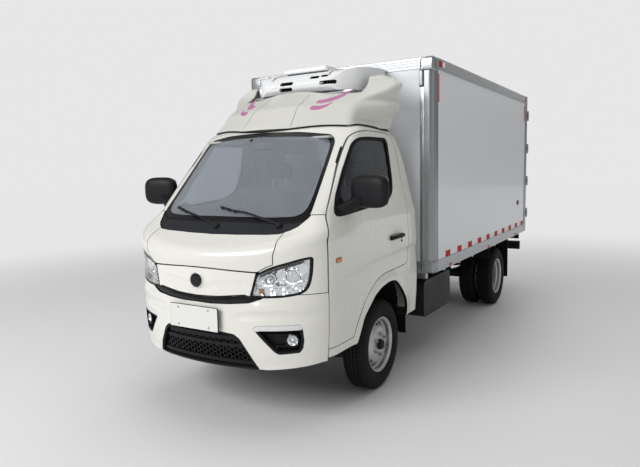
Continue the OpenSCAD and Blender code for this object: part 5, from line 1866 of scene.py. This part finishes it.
def make_rear_doors():
    """Insulated leaves with seals, strap hinges, lock rods, cams and handles."""
    hinge_x = box_mm("rear_door_left")[1][0] - 13
    hinge_y = box_mm("rear_door_left")[1][1] - 23
    for side in (1, -1):
        body = "rear_door_" + SIDE_NAME[side]
        z0, z1 = BOX_BOTTOM + 96, BOX_TOP - 96
        x0, x1 = sorted((side * 3, side * (HALF - 80)))
        parts = [paint(slab("leaf", (x0, DOOR_FACE - 58, z0), (x1, DOOR_FACE, z1), 3), PANEL)]
        edge = ring_of_slabs("edge", x0, x1, z0, z1, DOOR_FACE - 2, DOOR_FACE + 4, 34)
        parts.append(paint(edge, ALUMINIUM))
        seal = ring_of_slabs("seal", x0, x1, z0, z1, DOOR_FACE - 56, DOOR_FACE - 40, 12)
        parts.append(paint(seal, SEAL))
        for k in range(4):
            z = BOX_BOTTOM + 230 + k * (BOX_TOP - BOX_BOTTOM - 460) / 3
            strap = [(HALF - 330, DOOR_FACE + 2), (HALF - 330, DOOR_FACE + 10), (HALF - 40, DOOR_FACE + 10),
                     (hinge_x - 6, hinge_y + 6), (hinge_x, hinge_y - 8), (HALF - 40, DOOR_FACE + 2)]
            line = strap if side > 0 else flipped(strap)
            piece = prism("strap", line, "z", z - 28, z + 28)
            bevel_edges(piece, 2)
            parts.append(paint(piece, GALVANISED))
            barrel = lathe("barrel", [(12.5, z - 29), (12.5, z + 29), (0, z + 29), (0, z - 29)],
                           (side * hinge_x, hinge_y, 0), "z", 28, closed=False)
            parts.append(paint(barrel, STEEL))
            for u in (60, 150, 240):
                bolt = aimed(bolt_head("bolt", 8, 5), (side * (HALF - 70 - u), DOOR_FACE + 10, z), (0, 1, 0))
                parts.append(paint(bolt, STEEL))
        for x in ROD_X:
            rod = lathe("rod", [(11, z0 - 6), (11, z1 + 6), (0, z1 + 6), (0, z0 - 6)],
                        (side * x, DOOR_FACE + 14, 0), "z", 20, closed=False)
            parts.append(paint(rod, GALVANISED))
            for k in range(5):
                z = z0 + 40 + k * (z1 - z0 - 80) / 4
                guide = slab("guide", (side * x - 26, DOOR_FACE - 1, z - 24),
                             (side * x + 26, DOOR_FACE + 17, z + 24), 5, 3)
                parts.append(paint(guide, GALVANISED))
                for u in (-19, 19):
                    bolt = aimed(bolt_head("bolt", 4.5, 3), (side * x + u, DOOR_FACE + 17, z + 15), (0, 1, 0))
                    parts.append(paint(bolt, STEEL))
            for z in (z0 - 2, z1 + 2):
                cam = slab("cam", (side * x - 17, DOOR_FACE + 2, z - 13),
                           (side * x + 17, DOOR_FACE + 24, z + 13), 4)
                parts.append(paint(cam, CAST))
            z = BOX_BOTTOM + 535
            lever = slab("lever", (side * x, DOOR_FACE + 12, z - 14),
                         (side * (x - 180), DOOR_FACE + 20, z + 14), 3.5, 3)
            catch = slab("catch", (side * (x - 150), DOOR_FACE - 1, z - 26),
                         (side * (x - 190), DOOR_FACE + 24, z + 26), 4, 3)
            parts += [paint(lever, GALVANISED), paint(catch, GALVANISED)]
        ready(join("leaf_" + body, parts), body, replaces=(body,))


DOOR_FACE = box_mm("box_roof")[1][1] + 90
ROD_X = (0.30 * HALF, 0.62 * HALF)


def make_rear_lamps():
    """Tail lamps, the blank rear plate and the clearance lamps."""
    low, high = box_mm("tail_lights")
    for side in (1, -1):
        parts = []
        x0, x1 = side * 560, side * 788
        housing = slab("housing", (x0, low[1], low[2] + 2), (x1, high[1] - 12, high[2] - 3), 8, 4)
        parts.append(paint(housing, BLACK_PLASTIC))
        for k, (colour, span) in enumerate(((AMBER_LENS, 0.30), (RED_LENS, 0.36), (WHITE_LENS, 0.26))):
            start = (0.03, 0.35, 0.73)[k]
            p, q = sorted((x1 + (x0 - x1) * start, x1 + (x0 - x1) * (start + span)))
            lens = slab("lens", (p, high[1] - 20, low[2] + 12), (q, high[1] - 2, high[2] - 12), 6, 4)
            parts.append(paint(lens, colour))
            for r in range(1, 6):
                z = low[2] + 12 + (high[2] - low[2] - 24) * r / 6
                rib = slab("rib", (p + 5, high[1] - 4, z - 1), (q - 5, high[1] - 0.5, z + 1), 0.5, 1)
                parts.append(paint(rib, colour))
        ready(join("tail_lamp", parts), replaces=("tail_lights",) if side > 0 else ())
    plate = rounded(rect(-200, 200, 520, 630), 8)
    y = box_mm("rear_bumper")[1][1]
    blank = prism("rear_plate", plate, "y", y + 3, y + 5)
    holder = prism("rear_plate_holder", offset_outline(plate, 4), "y", y, y + 3)
    ready(join("rear_plate_set", [paint(blank, PLATE), paint(holder, BLACK_PLASTIC)]))
    lamps = []
    for x in (-700, -350, 0, 350, 700):
        base = slab("clearance", (x - 30, frame_high[1] - 2, BOX_TOP - 40),
                    (x + 30, frame_high[1] + 8, BOX_TOP - 18), 3)
        lamps.append(paint(base, RED_LENS))
    ready(join("clearance_lamps", lamps))


make_box_rails()
make_box_rivets()
make_panels()
make_tape()
make_box_fittings()
make_rear_doors()
make_rear_lamps()


# ---------------------------------------------------------------- wheels
tyre_low, tyre_high = box_mm("tyre_front_left")
twin_low, twin_high = box_mm("tyre_rear_left")
TYRE_R = tyre_high[2] / 2
TYRE_HALF = (tyre_high[0] - tyre_low[0]) / 2
TWIN = (twin_high[0] - twin_low[0] - 2 * TYRE_HALF) / 2   # each twin's distance from their middle
RIM_R = 178
GROOVES = (-39, -14, 14, 39)  # where the grooves run, measured from the middle of the tread
GROOVE_W = 4.2                # half their width
GROOVE_DEEP = 8.5
BLOCKS = 64                   # shoulder blocks round the tyre
TREAD_ANGLE = math.radians(28)
BOLT_CIRCLE = 74


def tyre_profile():
    """Half of a tyre's section as (radius, x), from the bead to the middle of the tread."""
    scale = TYRE_HALF / 83
    side = [(RIM_R + 10, 56), (RIM_R + 14, 66), (RIM_R + 22, 73), (RIM_R + 33, 78.5), (RIM_R + 36, 80),
            (RIM_R + 38, 80.4), (RIM_R + 40, 80), (RIM_R + 55, 82.6), (RIM_R + 70, 83), (RIM_R + 84, 82),
            (RIM_R + 88, 81.4), (RIM_R + 90, 82.2), (RIM_R + 93, 81.6), (RIM_R + 96, 79.6),
            (RIM_R + 106, 75.5), (TYRE_R - 19, 71), (TYRE_R - 11, 66), (TYRE_R - 6, 61), (TYRE_R - 3, 56)]
    return [(r, x * scale) for r, x in side]


def tread_radius(x):
    """The radius of the slightly crowned tread at x."""
    return TYRE_R - 2.6 * (abs(x) / 56) ** 2.4


def make_tyre(name, centre_x):
    """A tyre with grooves round it, cut shoulder blocks and a ribbed sidewall."""
    flank = tyre_profile()
    tread = []
    for g in sorted(GROOVES, reverse=True):
        tread += [(tread_radius(g + GROOVE_W + 2), g + GROOVE_W + 2), (tread_radius(g) - 0.6, g + GROOVE_W),
                  (TYRE_R - GROOVE_DEEP, g + GROOVE_W * 0.55), (TYRE_R - GROOVE_DEEP, g - GROOVE_W * 0.55),
                  (tread_radius(g) - 0.6, g - GROOVE_W), (tread_radius(g - GROOVE_W - 2), g - GROOVE_W - 2)]
        tread.append((tread_radius(g - 12.5), g - 12.5))
    section = flank + [(tread_radius(50), 50)] + tread[:-1] + [(tread_radius(50), -50)]
    section += [(r, -x) for r, x in flank[::-1]]
    section = np.array(section)
    per = 4
    count = BLOCKS * per
    r0, x0 = section[:, 0], section[:, 1]
    shoulder = (np.abs(x0) > 44) & (r0 > TYRE_R - 22)
    points = []
    for i in range(count):
        turn = 2 * math.pi * i / count
        cut = (i % per) == 0
        r = r0 - np.where(shoulder & cut, 5.5, 0) - np.where(~shoulder & (r0 > TYRE_R - 4) & cut
                                                           & (np.abs(x0) < 44), 1.2, 0)
        points.append(np.stack([x0, r * math.cos(turn), r * math.sin(turn)], 1))
    m = len(section)
    faces = []
    for i in range(count):
        j = (i + 1) % count
        for k in range(m - 1):
            faces.append((i * m + k, i * m + k + 1, j * m + k + 1, j * m + k))
    # close the section through the inside
    for i in range(count):
        j = (i + 1) % count
        faces.append((i * m + m - 1, i * m, j * m, j * m + m - 1))
    return make(name, np.vstack(points) + [centre_x, 0, 0], faces, TREAD_ANGLE)


def rim_barrel(offset):
    """The rim between the beads, with both flanges rolled outwards."""
    w = TYRE_HALF
    profile = [(RIM_R + 12, w - 11), (RIM_R + 13, w - 14), (RIM_R + 10, w - 17), (RIM_R + 1, w - 21),
               (RIM_R - 1, w - 27), (RIM_R - 2, w - 50), (RIM_R - 14, w - 58), (RIM_R - 14, -w + 62),
               (RIM_R - 2, -w + 48), (RIM_R - 1, -w + 27), (RIM_R + 1, -w + 21), (RIM_R + 10, -w + 17),
               (RIM_R + 13, -w + 14), (RIM_R + 12, -w + 11), (RIM_R + 5, -w + 12), (RIM_R - 5, -w + 18),
               (RIM_R - 7, -w + 48), (RIM_R - 19, -w + 66), (RIM_R - 19, w - 62), (RIM_R - 7, w - 50),
               (RIM_R - 6, w - 24), (RIM_R + 1, w - 14), (RIM_R + 8, w - 10)]
    return lathe("barrel", [(r, x + offset) for r, x in profile], (0, 0, 0), "x", 96)


def disc(face, holes):
    """The pressed wheel disc, with windows near its edge."""
    back = [(r, x - 6) for r, x in face]
    piece = lathe("disc", face + back[::-1], (0, 0, 0), "x", 96)
    hole_r, count = holes
    for i in range(count):
        a = 2 * math.pi * i / count + 0.2
        shape = rounded([(-16, -25), (13, -21), (13, 21), (-16, 25)], 13)
        turn = np.array([[math.cos(a), math.sin(a)], [-math.sin(a), math.cos(a)]])
        outline = (np.array(shape) + [hole_r, 0]) @ turn
        cut(piece, outline, "x", -90, 110)
    return piece


def wheel_nuts(x, radius):
    """Six nuts with washers and studs, facing outwards."""
    count, size = 6, 11
    parts = []
    for i in range(count):
        a = 2 * math.pi * (i + 0.5) / count
        y, z = radius * math.cos(a), radius * math.sin(a)
        washer = turned("washer", [(size + 4, 0), (size + 3, 3), (size, 4), (0, 4), (0, 0)], 20)
        nut = bolt_head("nut", size, 17)
        stud = bolt_head("stud", 5.5, 25, 14)
        for piece in (washer, nut, stud):
            parts.append(aimed(piece, (x, y, z), (1, 0, 0)))
    return parts


def place_wheel(piece, x, y, side):
    """From the wheel's own frame (X outwards) to its place on the truck."""
    turn_and_place(piece, Matrix.Scale(side, 4, Vector((1, 0, 0))), (x, y, wheel_z))
    if side < 0:
        piece.data.flip_normals()


FRONT_FACE = [(34, 61), (60, 61), (96, 60), (112, 58), (124, 52), (133, 42), (141, 28), (150, 16), (160, 9),
              (RIM_R - 13, 6)]
TWIN_FACE = [(44, 12), (70, 12), (94, 12), (104, 16), (116, 28), (130, 40), (146, 45), (158, 44),
             (RIM_R - 16, 40)]


def make_wheels():
    """Tyres, rims, discs, nuts, hubs and caps; the rear wheels are twins."""
    for axle in ("front", "rear"):
        for side in (1, -1):
            corner = axle + "_" + SIDE_NAME[side]
            low, high = box_mm("tyre_" + corner)
            centre = (low + high) / 2
            if axle == "front":
                tyres = [make_tyre("tyre", 0)]
                metal = [rim_barrel(0), disc(FRONT_FACE, (146, 10))]
                nuts = wheel_nuts(60, BOLT_CIRCLE)
                cap = turned("cap", [(0, 92), (20, 91), (30, 86), (35, 76), (37, 60), (0, 58)], 40, "x")
                hub = turned("hub", [(52, -6), (52, 40), (0, 40), (0, -6)], 40, "x")
            else:
                tyres = [make_tyre("tyre", TWIN), make_tyre("tyre", -TWIN)]
                inner_face = [(r, -x + 6) for r, x in TWIN_FACE]
                metal = [rim_barrel(TWIN), rim_barrel(-TWIN), disc(TWIN_FACE, (144, 8)),
                         disc(inner_face, (144, 8))]
                nuts = wheel_nuts(12, BOLT_CIRCLE)
                cap = turned("cap", [(0, 64), (24, 63), (34, 58), (40, 46), (42, 14), (0, 12)], 40, "x")
                hub = turned("hub", [(52, -30), (52, 10), (0, 10), (0, -30)], 40, "x")
            for piece in tyres:
                paint(piece, RUBBER)
            for piece in metal:
                paint(piece, WHEEL_SILVER)
            for piece in nuts:
                paint(piece, STEEL)
            paint(cap, BLACK_PLASTIC)
            paint(hub, CAST)
            rubber = join("tyre_set_" + corner, tyres)
            wheel = join("wheel_set_" + corner, metal + nuts + [cap, hub])
            for piece in (rubber, wheel):
                place_wheel(piece, centre[0], centre[1], side)
            ready(rubber, "wheel_" + corner, replaces=("tyre_" + corner,))
            ready(wheel, "wheel_" + corner, replaces=("rim_" + corner,))
            shade(rubber.data, TREAD_ANGLE)
            shade(wheel.data)


make_wheels()


# ---------------------------------------------------------------- cab interior
STEER_X = 360                # middle of the driver's place
BENCH_X = -310               # middle of the double seat
CLOTH_STEPS = 20


def inflate(piece, voxel=0.008, pressure=4.0, cap=14.0):
    """Soft padding: the piece is blown up a little as cloth, then smoothed."""
    mod = piece.modifiers.new("even", "REMESH")
    mod.mode = "VOXEL"
    mod.voxel_size = voxel
    apply_modifiers(piece)
    start = get_points(piece)
    cloth = piece.modifiers.new("cloth", "CLOTH")
    cloth.settings.quality = 4
    cloth.settings.use_pressure = True
    cloth.settings.uniform_pressure_force = pressure
    cloth.settings.effector_weights.gravity = 0
    cloth.collision_settings.use_collision = False
    cloth.point_cache.frame_end = CLOTH_STEPS
    for number in range(1, CLOTH_STEPS + 1):
        bpy.context.scene.frame_set(number)
    apply_modifiers(piece)
    move = get_points(piece) - start
    size = np.linalg.norm(move, axis=1)
    move *= np.minimum(1, cap * MM / np.maximum(size, 1e-9))[:, None]
    set_points(piece, start + move)
    bpy.context.scene.frame_set(1)
    smooth = piece.modifiers.new("smooth", "SMOOTH")
    smooth.factor = 0.5
    smooth.iterations = 4
    apply_modifiers(piece)
    shade(piece.data, math.radians(60))
    return piece


def cushion(name, width, depth, height, bevel, centre, lean, material, tufts=0):
    """A seat pad, swollen as cloth, with sewn channels across it and a seam along each side."""
    piece = slab(name, (-width / 2, -depth / 2, -height / 2), (width / 2, depth / 2, height / 2), bevel, 5)
    inflate(piece)
    if tufts:
        p = get_points(piece)
        local = p / MM - [0, axle_y, 0]
        across = 1 - step(width * 0.28, width * 0.36, np.abs(local[:, 0]))
        long_axis = 1 if depth > height else 2
        reach = (depth if long_axis == 1 else height) / tufts
        face = (local[:, 2] > height * 0.2) if long_axis == 1 else (local[:, 1] < -depth * 0.2)
        dent = 5.0 * np.abs(np.sin(math.pi * (local[:, long_axis] / reach + 0.5))) ** 0.5 - 5.0
        edge = -7.0 * (bump(np.abs(local[:, 0]), width * 0.34, 7))
        push = (dent * across + edge) * face
        if long_axis == 1:
            p[:, 2] += push * MM
        else:
            p[:, 1] -= push * MM
        set_points(piece, p)
    turn_and_place(piece, Matrix.Rotation(math.radians(-lean), 4, "X"), centre)
    return paint(piece, material)


def make_seats():
    """Two seats with padded base, back and headrest on a steel frame."""
    for name, x, width in (("driver", STEER_X, 500), ("bench", BENCH_X, 620)):
        base = cushion("seat_base_" + name, width - 26, 455, 88, 38, (x, -145, 828), 2.5, SEAT_CLOTH, 4)
        back = cushion("seat_back_" + name, width - 46, 78, 585, 34, (x, 208, 1112), -16.2, SEAT_CLOTH, 5)
        head = cushion("seat_head_" + name, 240, 60, 140, 26, (x, 312, 1520), -14, SEAT_SIDE)
        ready(base, replaces=("seats",) if name == "driver" else ())
        ready(back)
        ready(head)
        parts = []
        for dx in (-60, 60):
            path = [(x + dx, 292, 1385), (x + dx, 303, 1430), (x + dx, 310, 1480)]
            parts.append(paint(sweep("post", path, round_section(6), up=(1, 0, 0)), STEEL))
        frame_box = slab("seat_frame", (x - width / 2 + 30, -300, 764), (x + width / 2 - 30, 70, 786), 6)
        parts.append(paint(frame_box, CHASSIS))
        for dx in (-width / 2 + 60, width / 2 - 60):
            rail = slab("seat_rail", (x + dx - 14, -330, 761), (x + dx + 14, 100, 768), 2)
            parts.append(paint(rail, STEEL))
        ready(join("seat_frame_" + name, parts))


def make_dashboard():
    """Dashboard with dials, screen, knobs, vents and column, and the gear lever."""
    profile = [(-731, 905), (-612, 905), (-575, 960), (-562, 1040), (-590, 1112), (-640, 1140), (-700, 1150),
               (-731, 1150)]
    body = prism("dash", rounded(profile, [4, 20, 30, 40, 30, 30, 10, 4]), "x", -672, 672)
    bevel_edges(body, 6, 3, 50)
    parts = [paint(body, TRIM_GREY)]
    hood_line = rounded([(-690, 1130), (-560, 1118), (-548, 1160), (-600, 1196), (-680, 1176)], 26)
    hood = prism("hood", hood_line, "x", STEER_X - 170, STEER_X + 170)
    bevel_edges(hood, 14, 4, 50)
    parts.append(paint(hood, BLACK_PLASTIC))
    for dx, r in ((-75, 52), (75, 52), (0, 24)):
        dial = turned("dial", [(0, 3), (r - 4, 3), (r - 3, 7), (r, 7), (r, -6), (0, -6)], 40)
        parts.append(paint(aimed(dial, (STEER_X + dx, -550, 1150), (0, 0.9, 0.25)), BLACK_GLOSS))
    stack = slab("stack", (-60, -640, 880), (110, -548, 1120), 16, 4)
    parts.append(paint(stack, BLACK_PLASTIC))
    screen = slab("screen", (-45, -552, 1030), (95, -544, 1100), 5)
    parts.append(paint(screen, BLACK_GLOSS))
    for k in range(3):
        knob = turned("knob", [(0, 14), (13, 13), (15, 10), (16, 0), (0, 0)], 28)
        parts.append(paint(aimed(knob, (-28 + 53 * k, -548, 985), (0, 1, 0)), TRIM_GREY))
    for x in (-600, -250, 180, 590):
        vent = slab("vent", (x - 46, -590, 1046), (x + 46, -556, 1098), 12, 4)
        parts.append(paint(vent, BLACK_PLASTIC))
        for k in range(4):
            z = 1055 + 11 * k
            parts.append(paint(slab("vane", (x - 38, -560, z), (x + 38, -552, z + 3), 1, 1), TRIM_GREY))
    lid = slab("glovebox", (-520, -600, 925), (-160, -566, 1020), 12, 4)
    parts.append(paint(lid, TRIM_GREY))
    column = turned("column", [(0, 0), (36, 0), (42, 20), (40, 150), (34, 210), (0, 210)], 32)
    low, high = box_mm("steering_wheel")
    hub = (low + high) / 2
    tilt = math.radians(35)
    away = np.array([0, -math.cos(tilt) * 0.75, -math.sin(tilt)])
    parts.append(paint(aimed(column, hub + away * 28, away), BLACK_PLASTIC))
    for dx in (-1, 1):
        stalk = sweep("stalk", [hub + away * 40 + (dx * 30, 0, 0), hub + away * 36 + (dx * 130, 8, 6)],
                      round_section(6), up=(0, 0, 1))
        parts.append(paint(stalk, BLACK_PLASTIC))
    ready(join("dashboard_trim", parts), replaces=("dashboard",))
    levers = []
    boot = turned("boot", [(46, 0), (40, 14), (30, 22), (22, 40), (14, 60), (0, 62), (0, 0)], 28)
    levers.append(paint(aimed(boot, (20, -330, 758), (0, 0, 1)), SEAL))
    levers.append(paint(sweep("lever", [(20, -330, 800), (22, -345, 920), (24, -352, 990)],
                              round_section(7), up=(1, 0, 0)), STEEL))
    levers.append(paint(aimed(dome("gear_knob", 24, 22, 26), (24, -353, 1005), (0, -0.1, 1)), BLACK_PLASTIC))
    ready(join("gear_lever", levers))


def make_wheel_cover():
    """Horn pad and spokes over the plain wheel."""
    low, high = box_mm("steering_wheel")
    hub = (low + high) / 2
    span = high - low
    tilt = math.atan2(span[2] - 28, span[1] - 28)
    out = np.array([0, math.sin(tilt), math.cos(tilt)])
    ring_r = span[0] / 2 - 14
    up = np.array([0, math.cos(tilt), -math.sin(tilt)])
    turn = np.linspace(0, 2 * math.pi, 72, endpoint=False)
    path = [hub + ring_r * (math.cos(a) * np.array([1, 0, 0]) + math.sin(a) * up) for a in turn]
    grip = sweep("grip", path, round_section(14.5, 14), up=out, closed=True)
    pad = dome("pad", 62, 26, 16)
    pieces = [paint(grip, BLACK_PLASTIC), paint(aimed(pad, hub - out * 8, out), BLACK_PLASTIC)]
    for a in (0.05, math.pi - 0.05, 1.5 * math.pi - 0.45, 1.5 * math.pi + 0.45):
        direction = math.cos(a) * np.array([1, 0, 0]) - math.sin(a) * up
        spoke = sweep("spoke", [hub + direction * 40 - out * 4, hub + direction * ring_r],
                      flat_section(26, 12, 5), up=out)
        pieces.append(paint(spoke, TRIM_GREY))
    ready(join("steering_wheel_trim", pieces), "steering_wheel", replaces=("steering_wheel",))


def make_door_trim(side):
    """Arm rest, pocket, handle and speaker on the inside of a door."""
    body = "door_" + SIDE_NAME[side]
    parts = []
    inner_x = 712
    for y0, y1, z0, z1, deep, mat in ((-330, 260, 985, 1040, 46, TRIM_GREY),
                                      (-690, -410, 600, 690, 26, TRIM_GREY),
                                      (-60, 190, 905, 985, 18, BLACK_PLASTIC)):
        rest = slab("rest", (side * (inner_x - deep), y0, z0), (side * (inner_x + 2), y1, z1), 12, 4)
        parts.append(paint(rest, mat))
    handle = sweep("inner_handle", [(side * (inner_x - 6), -180, 1085), (side * (inner_x - 22), -170, 1088),
                                    (side * (inner_x - 22), -80, 1088), (side * (inner_x - 6), -70, 1085)],
                   round_section(7), up=(0, 0, 1))
    parts.append(paint(handle, CHROME))
    speaker = dome("speaker", 70, 8, 4)
    parts.append(paint(aimed(speaker, (side * (inner_x - 2), -350, 800), (-side, 0, 0)), BLACK_PLASTIC))
    ready(join("door_trim_" + body, parts), body)


def make_cab_trim():
    """Inner mirror and sun visors."""
    parts = []
    mirror = slab("inner_mirror", (-90, -345, 1662), (90, -325, 1720), 16, 4)
    stem = sweep("stem", [(0, -338, 1715), (0, -330, 1768)], round_section(6), up=(1, 0, 0))
    parts += [paint(mirror, BLACK_PLASTIC), paint(stem, BLACK_PLASTIC)]
    for side in (1, -1):
        visor = slab("visor", (side * 330 - 190, -300, 1728), (side * 330 + 190, -150, 1744), 7, 3)
        parts.append(paint(visor, HEADLINER))
    ready(join("roof_trim", parts))


make_seats()
make_dashboard()
make_wheel_cover()
make_cab_trim()
for side in (1, -1):
    make_door_trim(side)


# ---------------------------------------------------------------- finish of the carried-over parts
def make_crossmembers():
    """The cross beams, the ends of the front one trimmed to stay behind the bumper skin."""
    piece = copy_of(nodes["crossmembers"], "crossmember_set")
    piece.data.transform(nodes["crossmembers"].matrix_world)
    weld(piece)
    around = slab("around", (-900, -1100, 380), (900, -640, 600))
    boolean(around, cab_solid("clear", -SKIN - 4, COARSE, LOW))
    boolean(piece, around)
    ready(paint(piece, CHASSIS), replaces=("crossmembers",))


make_crossmembers()
FINISH = {
    "chassis_rails": CHASSIS, "engine": CAST, "driveshaft": CAST,
    "front_suspension": CHASSIS, "knuckle_left": CAST, "knuckle_right": CAST, "rear_axle": CHASSIS,
    "leaf_springs": CHASSIS, "fuel_tank": CHASSIS, "exhaust": CAST, "spare_wheel": RUBBER,
    "mud_flaps": SEAL, "wheel_housings": BLACK_PLASTIC, "rear_bumper": CHASSIS, "cab_floor": MAT_RUBBER,
    "back_window": GLASS_PAINTED_SKY, "box_floor": GALVANISED, "evaporator": GALVANISED, "rear_frame": ALUMINIUM,
}
for node, finish in FINISH.items():
    paint(nodes[node], finish)


# ---------------------------------------------------------------- stage, light and camera
def make_stage():
    """A pale floor that fades into the backdrop."""
    floor = make("floor", [(-40000, -40000, 0), (40000, -40000, 0), (40000, 40000, 0), (-40000, 40000, 0)],
                 [(0, 1, 2, 3)])
    mat, tree, surface = shader_tree("studio_floor")
    tree.links.new(tinted(tree, noise(tree, 3.0, 2.0), (0.84, 0.84, 0.845), (0.86, 0.86, 0.865)),
                   surface.inputs["Base Color"])
    surface.inputs["Roughness"].default_value = 0.5
    surface.inputs["Specular IOR Level"].default_value = 0.25
    # far from the truck the floor fades into the backdrop
    where = add_node(tree, "ShaderNodeTexCoord").outputs["Object"]
    reach = add_node(tree, "ShaderNodeVectorMath", [(where, 0)], [("operation", "LENGTH")])
    fade = add_node(tree, "ShaderNodeMapRange", [(reach.outputs["Value"], "Value")],
                    [("interpolation_type", "SMOOTHSTEP")], From_Min=3.0, From_Max=9.0)
    backdrop = add_node(tree, "ShaderNodeEmission", Color=(0.79, 0.79, 0.79, 1))
    mix = add_node(tree, "ShaderNodeMixShader",
                   [(fade.outputs["Result"], 0), (surface.outputs[0], 1), (backdrop.outputs[0], 2)])
    tree.links.new(mix.outputs[0], tree.nodes["Material Output"].inputs["Surface"])
    paint(floor, mat)


def make_world():
    """Even soft light; the camera and glass see a pale background."""
    world = bpy.data.worlds.new("studio")
    bpy.context.scene.world = world
    world.use_nodes = True
    tree = world.node_tree
    tree.nodes.clear()
    light = add_node(tree, "ShaderNodeBackground", Color=(1, 1, 1, 1), Strength=0.30)
    seen = add_node(tree, "ShaderNodeBackground", Color=(0.80, 0.80, 0.80, 1), Strength=1.0)
    path = add_node(tree, "ShaderNodeLightPath")
    either = add_node(tree, "ShaderNodeMath", [(path.outputs["Is Camera Ray"], 0),
                                               (path.outputs["Is Transmission Ray"], 1)],
                      [("operation", "MAXIMUM")])
    mix = add_node(tree, "ShaderNodeMixShader",
                   [(either.outputs[0], 0), (light.outputs[0], 1), (seen.outputs[0], 2)])
    add_node(tree, "ShaderNodeOutputWorld", [(mix.outputs[0], 0)])


def softbox(name, place, target, size, power):
    """A rectangular lamp aimed at a target."""
    data = bpy.data.lights.new(name, "AREA")
    data.shape = "RECTANGLE"
    data.size, data.size_y = size
    data.energy = power
    lamp = bpy.data.objects.new(name, data)
    bpy.context.scene.collection.objects.link(lamp)
    lamp.location = place
    lamp.rotation_euler = (Vector(target) - Vector(place)).to_track_quat("-Z", "Y").to_euler()


def make_camera():
    """The camera at the photograph's viewing angle."""
    data = bpy.data.cameras.new("camera")
    data.sensor_width, data.lens, data.shift_y = 36, 32.23, -0.0024
    camera = bpy.data.objects.new("camera", data)
    bpy.context.scene.collection.objects.link(camera)
    yaw, pitch, roll = (math.radians(a) for a in (31.48, 6.27, -1.26))
    ahead = Vector((-math.sin(yaw) * math.cos(pitch), math.cos(yaw) * math.cos(pitch), -math.sin(pitch)))
    right = Vector((math.cos(yaw), math.sin(yaw), 0))
    up = right.cross(ahead)
    across = right * math.cos(roll) + up * math.sin(roll)
    over = up * math.cos(roll) - right * math.sin(roll)
    turn = Matrix((across, over, -ahead)).transposed().to_4x4()
    turn.translation = Vector(to_row((2402.86, -3513.79, 1530.16)))
    camera.matrix_world = turn
    data.clip_end = 200
    bpy.context.scene.camera = camera


make_stage()
make_world()
# place and target in metres, size in metres, watts
softbox("key", (-2.5, -9.0, 5.5), (0, -0.5, 1), (6, 4), 550)
softbox("fill", (8.0, -2.0, 4.0), (0, 0, 1), (6, 4), 24)
softbox("top", (0.5, 1.0, 9.0), (0, 0, 1), (9, 9), 190)
softbox("back", (-1.0, 9.0, 5.0), (0, 0, 1), (6, 4), 120)
make_camera()
bpy.context.scene.view_settings.view_transform = "Standard"
drop(outer, inner, door_inner)
